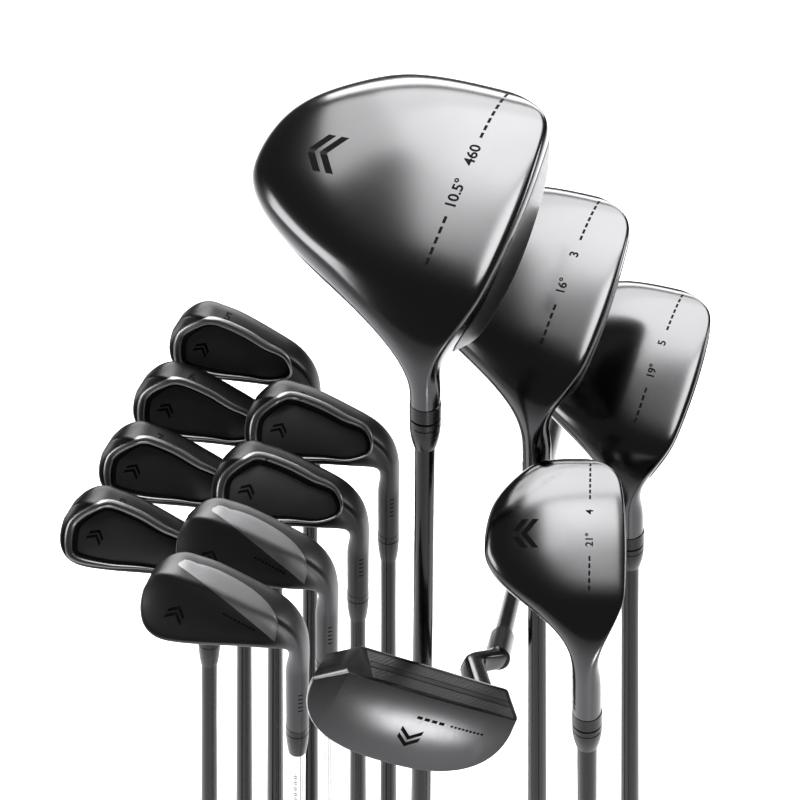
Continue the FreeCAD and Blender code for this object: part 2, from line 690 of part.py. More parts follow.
def build_putter():
    top = PUTTER_LENGTH - PUTTER_NECK_BEND - PUTTER_TIP_GAP
    core, shaft = make_shaft(top, PUTTER_TIP_RADIUS, 0)
    head, insert = make_putter(core)
    grip = make_grip(core, PUTTER_GRIP_FLAT)
    pieces = {"head": head, "insert": insert, "shaft": shaft, "grip": grip}
    export_pieces("putter", pieces, putter_place())


def export_pieces(name, pieces, place):
    for piece, shape in pieces.items():
        shape.Placement = place.multiply(shape.Placement)
        shape.translate(Vector(*SET_MIDDLE) * -1.0)
        export(name + "_" + piece, shape)


for club in CLUBS:
    build_club(club)
build_putter()
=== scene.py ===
import json
import math

import bmesh
import bpy
import numpy as np
from mathutils import Matrix, Vector
from mathutils.bvhtree import BVHTree


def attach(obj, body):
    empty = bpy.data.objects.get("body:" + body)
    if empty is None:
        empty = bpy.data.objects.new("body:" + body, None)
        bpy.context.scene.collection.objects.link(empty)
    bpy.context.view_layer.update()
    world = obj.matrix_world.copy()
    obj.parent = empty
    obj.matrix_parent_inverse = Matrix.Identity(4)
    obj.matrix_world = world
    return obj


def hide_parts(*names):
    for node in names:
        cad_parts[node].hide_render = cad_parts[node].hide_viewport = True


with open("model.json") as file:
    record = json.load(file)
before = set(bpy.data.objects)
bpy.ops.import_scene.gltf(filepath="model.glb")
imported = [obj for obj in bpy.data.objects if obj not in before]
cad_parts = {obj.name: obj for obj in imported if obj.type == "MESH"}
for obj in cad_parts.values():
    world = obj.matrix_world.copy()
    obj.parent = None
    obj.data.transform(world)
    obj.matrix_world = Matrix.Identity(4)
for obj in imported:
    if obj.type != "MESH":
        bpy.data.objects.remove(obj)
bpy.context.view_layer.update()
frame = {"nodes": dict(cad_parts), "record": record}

# ------------------------------------------------------------------ driving dimensions, mm and deg

MM = 0.001

# length along the shaft, lie, loft, sole to ferrule end, ferrule length, tip radius, yaw
CLUBS = {
    "driver": (1162.5, 58.5, 10.5, 75.0, 25.0, 4.5, 64.0),
    "wood3": (1103.5, 59.0, 16.0, 74.0, 24.0, 4.5, 64.0),
    "wood5": (1048.0, 59.5, 19.0, 74.0, 24.0, 4.5, 63.5),
    "hybrid": (1038.0, 60.0, 21.0, 84.0, 24.0, 4.7, 85.0),
    "iron5": (952.5, 61.5, 27.0, 98.0, 22.0, 4.7, 168.0),
    "iron6": (930.5, 62.0, 30.0, 100.0, 22.0, 4.7, 168.0),
    "iron7": (916.5, 62.5, 34.0, 101.0, 22.0, 4.7, 168.0),
    "iron8": (904.5, 63.0, 38.0, 98.0, 22.0, 4.7, 168.0),
    "iron9": (930.0, 63.5, 42.0, 101.0, 22.0, 4.7, 168.0),
    "pitching": (916.5, 64.0, 46.0, 100.0, 22.0, 4.7, 168.0),
    "wedge52": (912.0, 64.0, 52.0, 106.0, 22.0, 4.7, 168.0),
    "wedge56": (913.5, 64.0, 56.0, 114.0, 22.0, 4.7, 168.0),
}

# toe end, front of the face, depth, crown height, back edge height, deepest place, neck height
WOODS = {
    "driver": (115.0, -17.0, 132.0, 64.0, 26.0, 50.0, 42.0),
    "wood3": (98.0, -15.0, 99.0, 42.0, 16.0, 40.0, 37.0),
    "wood5": (91.0, -14.0, 88.0, 39.0, 14.0, 37.0, 37.0),
    "hybrid": (77.0, -12.0, 59.0, 34.0, 12.0, 32.0, 38.0),
}

# toe end, heel height, toe height, sole width, topline width, leading edge ahead of the shaft axis
BLADES = {
    "iron5": (75.5, 27.5, 50.0, 18.0, 5.0, 4.6),
    "iron6": (75.5, 27.5, 50.5, 18.0, 5.0, 4.8),
    "iron7": (75.5, 28.0, 51.0, 18.5, 5.2, 5.0),
    "iron8": (75.5, 28.5, 51.5, 18.5, 5.2, 5.2),
    "iron9": (76.0, 29.0, 52.0, 19.0, 5.2, 5.4),
    "pitching": (76.0, 29.0, 52.0, 19.5, 5.2, 5.6),
    "wedge52": (76.5, 29.5, 52.0, 20.0, 4.6, 5.8),
    "wedge56": (77.0, 30.0, 52.5, 21.0, 4.6, 6.0),
}

NUMBERS = {"driver": "10.5°", "wood3": "16°", "wood5": "19°", "hybrid": "21°", "iron5": "5",
           "iron6": "6", "iron7": "7", "iron8": "8", "iron9": "9", "pitching": "P",
           "wedge52": "52", "wedge56": "56"}
WOOD_NAMES = {"driver": "460", "wood3": "3", "wood5": "5", "hybrid": "4"}

GRIP_LENGTH = 267.0
GRIP_BUTT_RADIUS = 13.6
GRIP_TIP_RADIUS = 9.0
GRIP_EDGE = 3.5
GRIP_CAP = 4.0
VENT_RADIUS = 1.3
SHAFT_BUTT_RADIUS = 7.6
SHAFT_BUTT_LENGTH = 240.0
SHAFT_TIP_LENGTH = 95.0
SHAFT_DEPTH = 26.0
WEDGE_STEPS = 8
TURNED_SIDES = 56
GRIP_SIDES = 60
WOOD_HOSEL_RADIUS = 6.9
IRON_HOSEL_RADIUS = 6.5
WOOD_COLLAR = 8.0
FERRULE_END_GAP = 0.5
FACE_BULGE = 290.0
FACE_RIM = 0.6
FACE_THICK = 1.8
CROWN_CLEAR = 12.5
SEAM = 0.25

FACE_SHARES = (0.04, 0.30, 0.62, 0.93)
CROWN_SHARES = (0.04, 0.16, 0.34, 0.54, 0.74, 0.90, 0.98)
SOLE_SHARES = (0.97, 0.86, 0.67, 0.46, 0.26, 0.10, 0.02)
NECK_ANGLES = (-52, -22, 12, 44, 62, 80, 98, 116, 134, 150, 164, 180, 195, 210, 226, 242, 258, 274,
               290)
TOE_SHARES = (0.06, 0.24, 0.42, 0.58, 0.72, 0.83, 0.91, 0.96, 0.985, 0.998)

SOLE_FLAT = 0.55
TOE_START = 0.76
TOE_MIDDLE = 0.52
HOSEL_ANGLES = (-48, -20, 10, 40, 65, 95, 120, 142, 166, 190, 210, 226, 246, 262, 278, 294)
BLADE_TOE_SHARES = (0.66, 0.76, 0.84, 0.90, 0.95, 0.98, 0.995)
CAVITY_SOLE = 8.6
CAVITY_RIM = 3.8
CAVITY_FLOOR = 3.2
CAVITY_NOSE = 4.0
CAVITY_STATIONS = (12.0, 26.0, 42.0, 58.0)

# Share of its radius that a cavity rim is sunk by. The 7-iron is drawn out close under the
# pitching wedge, so its rim is sunk deeper
RIM_SINK = 0.62
RIM_SINK_DEEPER = {"iron7": 0.88}

PUTTER_LENGTH = 850.0
PUTTER_LIE = 70.0
PUTTER_TOE_WAY = (-0.893, 0.285, 0.351)
PUTTER_WIDTH = 105.0
PUTTER_DEPTH = 43.0
PUTTER_HEIGHT = 27.0
PUTTER_HEEL = -18.0
PUTTER_FRONT = -8.0
PUTTER_SHOULDER = 9.0
PUTTER_TOE_CUT = 13.0
PUTTER_TOE_TAPER = 12.0
PUTTER_SOLE_INSET = 3.0
PUTTER_CAMBER = 1.8
PUTTER_TIP_RADIUS = 4.7
PUTTER_NECK = 11.0
PUTTER_NECK_T = -8.0
PUTTER_NECK_B = 1.5
PUTTER_NECK_HEIGHT = 30.0
PUTTER_NECK_BEND = 70.0
PUTTER_BOSS_RADIUS = 6.6
PUTTER_BOSS_LENGTH = 24.0
PUTTER_INSERT = 1.5
PUTTER_INSERT_MARGIN = 3.0
PUTTER_GRIP_FLAT = -8.5

# Marks stand this proud of the surface they lie on, and reach this far into it
MARK_PROUD = 0.06
MARK_DEPTH = 0.35
HOSEL_MARK_PROUD = 0.04
HOSEL_MARK_DEPTH = 0.3
SHAFT_PRINT_PROUD = 0.03
SHAFT_PRINT_DEPTH = 0.2
SOLE_NUMBER_SIZE = 8.5
EMBLEM_SIZE = 8.4
WEDGE_EMBLEM_SIZE = 9.2
PUTTER_EMBLEM_SIZE = 11.0

# Finishes: height of the fine grain in metres, and scale of the broad mottle
GRAIN_HEIGHT = 0.0002
MOTTLE_SCALE = 14.0

# Place of the camera in the set's frame, in millimetres, and its tilt up from straight down
CAMERA_FROM_SET = (-8.25, -961.0, 1636.0)
CAMERA_PITCH = 50.0
CAMERA_LENS = 85.0


# ------------------------------------------------------------------------------------- helpers

def mix(first, second, share):
    return first + (second - first) * share


def smooth(share):
    share = min(max(share, 0.0), 1.0)
    return share * share * (3.0 - 2.0 * share)


def signed_power(value, exponent):
    return math.copysign(abs(value) ** exponent, value)


def periodic_points(points, steps):
    """Closed uniform cubic B-spline through control points along the first axis."""
    points = np.asarray(points, dtype=float)
    rows = []
    for index in range(len(points)):
        near = [points[(index + k - 1) % len(points)] for k in range(4)]
        for step in range(steps):
            f = step / steps
            weights = ((1 - f) ** 3, 3 * f ** 3 - 6 * f * f + 4,
                       -3 * f ** 3 + 3 * f * f + 3 * f + 1, f ** 3)
            rows.append(sum(w * p for w, p in zip(weights, near)) / 6.0)
    return np.array(rows)


def clamped_points(points, steps):
    """Open cubic B-spline, clamped at its ends, along the first axis."""
    points = np.asarray(points, dtype=float)
    count = len(points)
    knots = [0.0] * 4 + [float(k) for k in range(1, count - 3)] + [float(count - 3)] * 4
    rows = []
    for sample in range((count - 3) * steps + 1):
        u = min(sample / steps, count - 3 - 1e-9)
        span = 3
        while span < count - 1 and u >= knots[span + 1]:
            span += 1
        d = [points[span - 3 + j] for j in range(4)]
        for r in range(1, 4):
            for j in range(3, r - 1, -1):
                low = knots[span - 3 + j]
                wide = knots[span + 1 + j - r] - low
                alpha = (u - low) / wide if wide else 0.0
                d[j] = d[j - 1] * (1.0 - alpha) + d[j] * alpha
        rows.append(d[3])
    return np.array(rows)


def link(mesh, name):
    piece = bpy.data.objects.new(name, mesh)
    bpy.context.scene.collection.objects.link(piece)
    return piece


def mesh_piece(name, verts, faces):
    mesh = bpy.data.meshes.new(name)
    mesh.from_pydata([tuple(v) for v in verts], [], faces)
    work = bmesh.new()
    work.from_mesh(mesh)
    bmesh.ops.remove_doubles(work, verts=work.verts, dist=1e-5)
    bmesh.ops.recalc_face_normals(work, faces=work.faces)
    work.to_mesh(mesh)
    work.free()
    return link(mesh, name)


def tube_faces(count, sides, closed):
    """Quads between the rows of a tube; a closed tube joins its last row to its first."""
    faces = []
    for i in range(count if closed else count - 1):
        n = (i + 1) % count
        for j in range(sides):
            k = (j + 1) % sides
            faces.append((i * sides + j, i * sides + k, n * sides + k, n * sides + j))
    return faces


def grid_piece(name, rows):
    """Tube of quads over rows of points, closed round each row, with flat ends."""
    along, around = rows.shape[:2]
    faces = tube_faces(along, around, False)
    faces.append(tuple(range(around)))
    faces.append(tuple(range((along - 1) * around, along * around)))
    return mesh_piece(name, rows.reshape(-1, 3), faces)


def closed_tube(name, rows):
    """Tube of quads over rows of points, closed both ways."""
    rows = np.array(rows)
    return mesh_piece(name, rows.reshape(-1, 3), tube_faces(len(rows), rows.shape[1], True))


def circle_row(radius, z, turn):
    return np.stack([radius * np.cos(turn), radius * np.sin(turn), np.full(len(turn), z)], axis=1)


def skin_piece(name, rows, around_steps, along_steps):
    across = np.array([periodic_points(row, around_steps) for row in rows])
    return grid_piece(name, clamped_points(across, along_steps))


def ring_loop(name, centres, normals, radii, sides):
    """Closed bead along a closed loop of centres, round in section."""
    count = len(centres)
    rows = []
    for i in range(count):
        way = centres[(i + 1) % count] - centres[i - 1]
        way = way / np.linalg.norm(way)
        up = normals[i] - way * normals[i].dot(way)
        up = up / np.linalg.norm(up)
        side = np.cross(way, up)
        turn = 2 * math.pi * np.arange(sides) / sides
        rows.append(centres[i] + radii[i] * (np.outer(np.cos(turn), up) + np.outer(np.sin(turn), side)))
    return closed_tube(name, rows)


def prism(name, outline, way):
    """Closed solid from a closed outline of points moved along a way."""
    count = len(outline)
    low = [np.asarray(p, dtype=float) for p in outline]
    high = [p + way for p in low]
    faces = [tuple(range(count)), tuple(range(count, 2 * count))]
    for j in range(count):
        k = (j + 1) % count
        faces.append((j, k, count + k, count + j))
    return mesh_piece(name, low + high, faces)


def bake_modifiers(piece):
    """Makes the piece's modifiers part of its mesh."""
    graph = bpy.context.evaluated_depsgraph_get()
    mesh = bpy.data.meshes.new_from_object(piece.evaluated_get(graph))
    piece.modifiers.clear()
    old = piece.data
    piece.data = mesh
    bpy.data.meshes.remove(old)


def combine(piece, cutter, operation):
    """Boolean in place; the cutter is deleted."""
    step = piece.modifiers.new("combine", "BOOLEAN")
    step.operation = operation
    step.solver = "EXACT"
    step.object = cutter
    bake_modifiers(piece)
    bpy.data.objects.remove(cutter)


def copy_piece(piece, name, move=(0.0, 0.0, 0.0)):
    mesh = piece.data.copy()
    mesh.transform(Matrix.Translation(move))
    return link(mesh, name)


def bevel(piece, width, segments=2, angle=35.0):
    step = piece.modifiers.new("bevel", "BEVEL")
    step.width = width
    step.segments = segments
    step.limit_method = "ANGLE"
    step.angle_limit = math.radians(angle)
    bake_modifiers(piece)


def surface(piece):
    return BVHTree.FromObject(piece, bpy.context.evaluated_depsgraph_get())


# ----------------------------------------------------------------------- where each club stands

class Club:
    """A club's frame in the set: axis point at its butt, shaft axis, and its turned x and y ways."""

    def __init__(self, name, body, length, lie, axis, across):
        self.name = name
        self.body = body
        self.length = length
        self.lie = math.radians(lie)
        self.axis = axis.normalized()
        self.across = (across - self.axis * across.dot(self.axis)).normalized()
        self.back = self.axis.cross(self.across)
        self.butt = self.axis_foot() - self.axis * GRIP_CAP * MM

    def axis_foot(self):
        """Middle of the shaft's lower end, read from the CAD shaft."""
        points = [v.co for v in frame["nodes"][self.name + "_shaft"].data.vertices]
        low = min(p.dot(self.axis) for p in points)
        ring = [p for p in points if p.dot(self.axis) < low + 0.05 * MM]
        middle = self.axis * low
        for way in (self.across, self.back):
            places = [p.dot(way) for p in ring]
            middle = middle + way * (min(places) + max(places)) / 2.0
        return middle

    def shaft_matrix(self):
        """Takes millimetres in the club's own frame into the set."""
        turn = Matrix((self.across, self.back, self.axis)).transposed().to_4x4()
        return Matrix.Translation(self.butt) @ turn @ Matrix.Scale(MM, 4)

    def head_matrix(self):
        """Takes millimetres (toe, back, up) measured from the sole into the set."""
        toe = (math.sin(self.lie), 0.0, math.cos(self.lie))
        up = (math.cos(self.lie), 0.0, -math.sin(self.lie))
        head = Matrix((toe, (0.0, 1.0, 0.0), up)).transposed().to_4x4()
        return self.shaft_matrix() @ Matrix.Translation((0.0, 0.0, self.length)) @ head

    def settle(self, piece, matrix, slot, nodes, material, sharp=32.0):
        """Moves a finished piece into the set, and gives it its body and material. The slot argument is
        not used.
        """
        piece.data.transform(matrix)
        if matrix.determinant() < 0:
            piece.data.flip_normals()
        for face in piece.data.polygons:
            face.use_smooth = True
        piece.data.set_sharp_from_angle(angle=math.radians(sharp))
        piece.data.materials.clear()
        piece.data.materials.append(material)
        for face in piece.data.polygons:
            face.material_index = 0
        if nodes:
            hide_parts(*nodes)
        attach(piece, self.body)


def find_clubs():
    axes = {joint["child"]: Vector(joint["axis"]) for joint in frame["record"]["behaviour"]["joints"]}
    clubs = {}
    for name, row in CLUBS.items():
        body = name + "_club"
        axis = axes.get(body, Vector((0.0, 0.0, 1.0)))
        lean = math.atan2(-axis.x, axis.z)
        turn = Matrix.Rotation(-lean, 3, "Y") @ Matrix.Rotation(math.radians(row[6]), 3, "Z")
        clubs[name] = Club(name, body, row[0], row[1], axis, turn @ Vector((1.0, 0.0, 0.0)))
    clubs["putter"] = Club("putter", "putter_club", PUTTER_LENGTH, PUTTER_LIE, axes["putter_club"],
                           Vector(PUTTER_TOE_WAY))
    return clubs


# ------------------------------------------------------------------------------------ materials

def new_material(name):
    material = bpy.data.materials.new(name)
    material.use_nodes = True
    nodes = material.node_tree.nodes
    links = material.node_tree.links
    return material, nodes, links, nodes["Principled BSDF"]


def add_noise(nodes, links, scale, detail):
    place = nodes.new("ShaderNodeTexCoord")
    noise = nodes.new("ShaderNodeTexNoise")
    noise.inputs["Scale"].default_value = scale
    noise.inputs["Detail"].default_value = detail
    links.new(place.outputs["Object"], noise.inputs["Vector"])
    return noise


def ramp_between(nodes, links, source, low, high):
    spread = nodes.new("ShaderNodeMapRange")
    spread.inputs["From Min"].default_value = 0.3
    spread.inputs["From Max"].default_value = 0.7
    spread.inputs["To Min"].default_value = low
    spread.inputs["To Max"].default_value = high
    links.new(source, spread.inputs["Value"])
    return spread.outputs["Result"]


def tint_between(nodes, links, source, low, high):
    ramp = nodes.new("ShaderNodeValToRGB")
    ramp.color_ramp.elements[0].position = 0.3
    ramp.color_ramp.elements[0].color = (low, low, 1.02 * low, 1.0)
    ramp.color_ramp.elements[1].position = 0.7
    ramp.color_ramp.elements[1].color = (high, high, 1.02 * high, 1.0)
    links.new(source, ramp.inputs["Fac"])
    return ramp.outputs["Color"]


def add_grain(nodes, links, shader, grain, rough, spread, bump):
    """Roughness and height of a finish, both from one fine noise."""
    links.new(ramp_between(nodes, links, grain.outputs["Fac"], rough - spread, rough + spread),
              shader.inputs["Roughness"])
    height = nodes.new("ShaderNodeBump")
    height.inputs["Strength"].default_value = bump
    height.inputs["Distance"].default_value = GRAIN_HEIGHT
    links.new(grain.outputs["Fac"], height.inputs["Height"])
    links.new(height.outputs["Normal"], shader.inputs["Normal"])


def coated_metal(name, low, high, rough, rough_spread, grain, bump):
    """Black coated metal: faint grain in its colour, roughness and height."""
    material, nodes, links, shader = new_material(name)
    shader.inputs["Metallic"].default_value = 1.0
    broad = add_noise(nodes, links, MOTTLE_SCALE, 3.0)
    fine = add_noise(nodes, links, grain, 2.0)
    tint = tint_between(nodes, links, broad.outputs["Fac"], low, high)
    links.new(tint, shader.inputs["Base Color"])
    add_grain(nodes, links, shader, fine, rough, rough_spread, bump)
    return material


def lacquer(name, low, high, rough, grain, bump, specular, coat):
    """Paint, plastic or rubber: dark with a faint mottle."""
    material, nodes, links, shader = new_material(name)
    shader.inputs["Specular IOR Level"].default_value = specular
    shader.inputs["Coat Weight"].default_value = coat
    shader.inputs["Coat Roughness"].default_value = 0.06
    fine = add_noise(nodes, links, grain, 3.0)
    tint = tint_between(nodes, links, fine.outputs["Fac"], low, high)
    links.new(tint, shader.inputs["Base Color"])
    add_grain(nodes, links, shader, fine, rough, 0.04, bump)
    return material


# metals: darkest and lightest value, roughness and its spread, grain scale, grain strength;
# lacquers: darkest and lightest value, roughness, grain scale, grain strength, specular, coat
MATERIALS = {
    "sole": coated_metal("mirror_black_metal", 0.062, 0.072, 0.17, 0.005, 500.0, 0.002),
    "face": coated_metal("satin_black_face", 0.030, 0.042, 0.34, 0.05, 1400.0, 0.08),
    "iron": coated_metal("satin_black_iron", 0.023, 0.029, 0.34, 0.04, 1800.0, 0.05),
    "wedge": coated_metal("satin_black_wedge", 0.044, 0.053, 0.38, 0.04, 1800.0, 0.05),
    "pad": coated_metal("matt_black_cavity", 0.056, 0.070, 0.44, 0.05, 2200.0, 0.12),
    "rim": coated_metal("polished_black_rim", 0.13, 0.16, 0.32, 0.03, 1200.0, 0.02),
    "facet": coated_metal("brushed_grey_facet", 0.13, 0.16, 0.50, 0.06, 1500.0, 0.10),
    "putter": coated_metal("putter_black_metal", 0.050, 0.062, 0.20, 0.02, 900.0, 0.02),
    "milled": coated_metal("milled_black_insert", 0.036, 0.048, 0.36, 0.05, 1500.0, 0.08),
    "chrome": coated_metal("chrome_shaft", 0.62, 0.74, 0.10, 0.02, 700.0, 0.01),
    "crown": lacquer("gloss_black_crown", 0.004, 0.006, 0.10, 300.0, 0.01, 0.40, 0.3),
    "ferrule": lacquer("gloss_black_ferrule", 0.002, 0.003, 0.24, 400.0, 0.02, 0.22, 0.0),
    "shaft": lacquer("gloss_black_shaft", 0.0015, 0.0025, 0.16, 350.0, 0.01, 0.22, 0.0),
    "grip": lacquer("matt_black_rubber", 0.010, 0.017, 0.68, 900.0, 0.25, 0.35, 0.0),
    "mark": lacquer("sunk_mark_paint", 0.0008, 0.0014, 0.62, 900.0, 0.05, 0.05, 0.0),
}


# ------------------------------------------------------------------------------- shared sections

def shaft_circle(name, along, radius, turns):
    lie = math.radians(CLUBS[name][1])
    points = []
    for turn in turns:
        inner = radius * math.sin(math.radians(turn))
        ahead = radius * math.cos(math.radians(turn))
        points.append((-along * math.cos(lie) + inner * math.sin(lie), -ahead,
                       along * math.sin(lie) + inner * math.cos(lie)))
    return np.array(points)


def turned_section(first, second, lie, share):
    points = first + (second - first) * share
    turn = mix(0.0, math.radians(lie), share)
    normal = np.array((math.cos(turn), 0.0, -math.sin(turn)))
    centre = points.mean(axis=0)
    return points - np.outer((points - centre) @ normal, normal)


# ------------------------------------------------------------------------------------ wood heads

def wood_section(name, t):
    """Closed row of points round a wood head at a distance t towards the toe."""
    toe, front, depth, crown, tail, deepest = WOODS[name][:6]
    loft = math.radians(CLUBS[name][2])
    start = -0.45 * deepest
    if t < deepest:
        reach = max((t - start) / (deepest - start), 0.0)
        behind = depth * math.sin(0.5 * math.pi * reach ** 1.1)
        top = crown * mix(0.60, 1.0, smooth((t + 0.5 * deepest) / (1.5 * deepest)))
        bottom = 0.011 * max(0.4 * deepest - t, 0.0) ** 2
        near = front + 0.022 * max(10.0 - t, 0.0) ** 2
    else:
        reach = (t - deepest) / (toe - deepest)
        middle = 0.42 * crown
        behind = depth * (1.0 - reach ** 2.6) ** (1 / 2.35)
        top = middle + (crown - middle) * (1.0 - reach ** 2.6) ** (1 / 2.4)
        bottom = middle * (1.0 - (1.0 - reach ** 3.0) ** (1 / 2.6))
        near = front + 0.22 * depth * max((reach - 0.7) / 0.3, 0.0) ** 2.5
    near = near + (t - deepest) ** 2 / (2 * FACE_BULGE)
    edge = mix(bottom, top, tail / crown)

    def crown_height(share):
        rise = max(share - 0.22, 0.0) / 0.78
        drop = 0.07 * (top - edge) * max(1.0 - share / 0.22, 0.0) ** 2
        return edge + (top - edge) * (1.0 - rise ** 2) ** 0.5 - drop

    def sole_height(share):
        sink = max(share - 0.12, 0.0) / 0.88
        return bottom + (edge - bottom) * (1.0 - (1.0 - sink ** 2.3) ** (1 / 2.3))

    def point(share, w):
        lean = (w - 0.45 * crown) * math.tan(loft)
        return t, near + share * behind + (1.0 - share) ** 2 * lean, w

    rows = [point(0.0, mix(bottom, crown_height(0.0), share)) for share in FACE_SHARES]
    rows += [point(share, crown_height(share)) for share in CROWN_SHARES]
    rows.append(point(1.0, edge))
    rows += [point(share, sole_height(share)) for share in SOLE_SHARES]
    return np.array(rows)


def wood_rows(name):
    toe = WOODS[name][0]
    deepest, neck = WOODS[name][5:7]
    end = CLUBS[name][3] - CLUBS[name][4]
    lie = CLUBS[name][1]

    def circle(along):
        return shaft_circle(name, along, WOOD_HOSEL_RADIUS, NECK_ANGLES)

    rows = [circle(end), circle(mix(end, neck, 0.5)), circle(neck)]
    for t, drop, share in ((-12.0, 6.0, 0.80), (-7.0, 12.0, 0.48), (-1.0, 17.0, 0.18)):
        rows.append(turned_section(wood_section(name, t), circle(neck - drop), lie, share))
    rows += [wood_section(name, share * deepest + 2.0) for share in (0.12, 0.30, 0.55, 0.82)]
    rows += [wood_section(name, mix(deepest, toe, share)) for share in TOE_SHARES]
    return rows


def face_outline(name, b, grow=0.0, count=72):
    toe, crown = WOODS[name][0], WOODS[name][3]
    low = -5.0 - grow
    high = 0.90 * toe + grow
    points = []
    for index in range(count):
        angle = 2 * math.pi * index / count
        across = signed_power(math.cos(angle), 0.85)
        upward = signed_power(math.sin(angle), 0.85)
        height = (0.47 + 0.03 * across + (0.36 + 0.03 * across) * upward) * crown + grow * upward
        points.append((mix(low, high, 0.5 + 0.5 * across), b, height))
    return points


def score_lines(name, face):
    """Rows of scored lines toward both ends of the face, leaving its middle plain."""
    toe, front = WOODS[name][:2]
    crown = WOODS[name][3]
    middle = 0.45 * toe
    for row in range(5):
        height = mix(0.24, 0.68, row / 4.0) * crown
        for side in (-1.0, 1.0):
            start = middle + side * 0.13 * toe
            finish = middle + side * (0.33 - 0.02 * abs(row - 2)) * toe
            line = [(start, front - 12.0, height - 0.45), (finish, front - 12.0, height - 0.45),
                    (finish, front - 12.0, height + 0.45), (start, front - 12.0, height + 0.45)]
            cutter = prism("cutter", line, np.array((0.0, 24.0, 0.0)))
            sheet = copy_piece(face, "sheet", (0.0, -0.35, 0.0))
            combine(cutter, sheet, "DIFFERENCE")
            combine(face, cutter, "DIFFERENCE")


def make_wood(club):
    name = club.name
    front, depth, crown, tail = WOODS[name][1:5]
    place = club.head_matrix()
    skin = skin_piece(name + "_skin", wood_rows(name), 7, 8)
    tree = surface(skin)
    # face plate: a sheet that follows the front of the head inside its outline
    face = copy_piece(skin, name + "_face_plate", (0.0, -FACE_RIM, 0.0))
    slot = prism("slot", face_outline(name, front - 25.0), np.array((0.0, 60.0, 0.0)))
    combine(face, slot, "INTERSECT")
    combine(face, copy_piece(skin, "inner", (0.0, FACE_THICK, 0.0)), "DIFFERENCE")
    groove = prism("groove", face_outline(name, front - 25.0, 0.35), np.array((0.0, 60.0, 0.0)))
    combine(groove, copy_piece(skin, "inner", (0.0, 0.8, 0.0)), "DIFFERENCE")
    combine(skin, groove, "DIFFERENCE")
    # crown joint, from under the top of the face down to the back edge, whole round the hosel
    joint_front = 0.88 * crown
    joint_back = tail + 3.0
    slope = math.atan2(joint_front - joint_back, depth)
    wide = 200.0
    base = [(-wide, front - wide, joint_front + wide * math.tan(slope)),
            (wide, front - wide, joint_front + wide * math.tan(slope)),
            (wide, front + wide, joint_front - wide * math.tan(slope)),
            (-wide, front + wide, joint_front - wide * math.tan(slope))]
    above = prism("above", base, np.array((0.0, 0.0, wide)))
    lie = club.lie
    axis = np.array((-math.cos(lie), 0.0, math.sin(lie)))
    inner = np.array((math.sin(lie), 0.0, math.cos(lie)))
    turns = 2 * math.pi * np.arange(48) / 48
    back = np.array((0.0, 1.0, 0.0))
    round_row = [CROWN_CLEAR * (math.cos(a) * inner + math.sin(a) * back) - axis * 20 for a in turns]
    combine(above, prism("around", round_row, axis * 160.0), "DIFFERENCE")
    crown_piece = copy_piece(skin, name + "_crown_shell")
    combine(crown_piece, copy_piece(above, "raised", (0.0, 0.0, SEAM)), "INTERSECT")
    combine(skin, above, "DIFFERENCE")
    skin.name = name + "_body_shell"
    score_lines(name, face)
    wood_marks(club, tree, place)
    club.settle(skin, place, "wood_head", [name + "_body"], MATERIALS["sole"], 28.0)
    club.settle(crown_piece, place, "wood_crown", [name + "_crown"], MATERIALS["crown"], 28.0)
    club.settle(face, place, "wood_face", [name + "_face"], MATERIALS["face"], 28.0)
    # kept out of the neighbours' polished soles; only the 3-wood's crown still shows in them
    skin.visible_glossy = name not in ("driver", "wood3")
    face.visible_glossy = name not in ("driver", "wood3")
    crown_piece.visible_glossy = name != "driver"


# ----------------------------------------------------------------------------- irons and wedges

def blade_limits(name, t):
    toe_end, heel_height, toe_height = BLADES[name][:3]
    rise = t / (TOE_START * toe_end)
    top = mix(heel_height, toe_height, 0.55 * smooth(rise) + 0.45 * rise)
    low = 0.0
    if t < 8.0:
        low = 0.016 * (8.0 - t) ** 2
    if t > SOLE_FLAT * toe_end:
        low = 2.5 * ((t - SOLE_FLAT * toe_end) / ((TOE_START - SOLE_FLAT) * toe_end)) ** 2
    return low, top


def on_blade(name, t, height, depth):
    """Point at a height up the face and a depth behind it."""
    loft = math.radians(CLUBS[name][2])
    lead = BLADES[name][5]
    return np.array((t, -lead + height * math.sin(loft) + depth * math.cos(loft),
                     height * math.cos(loft) - depth * math.sin(loft)))


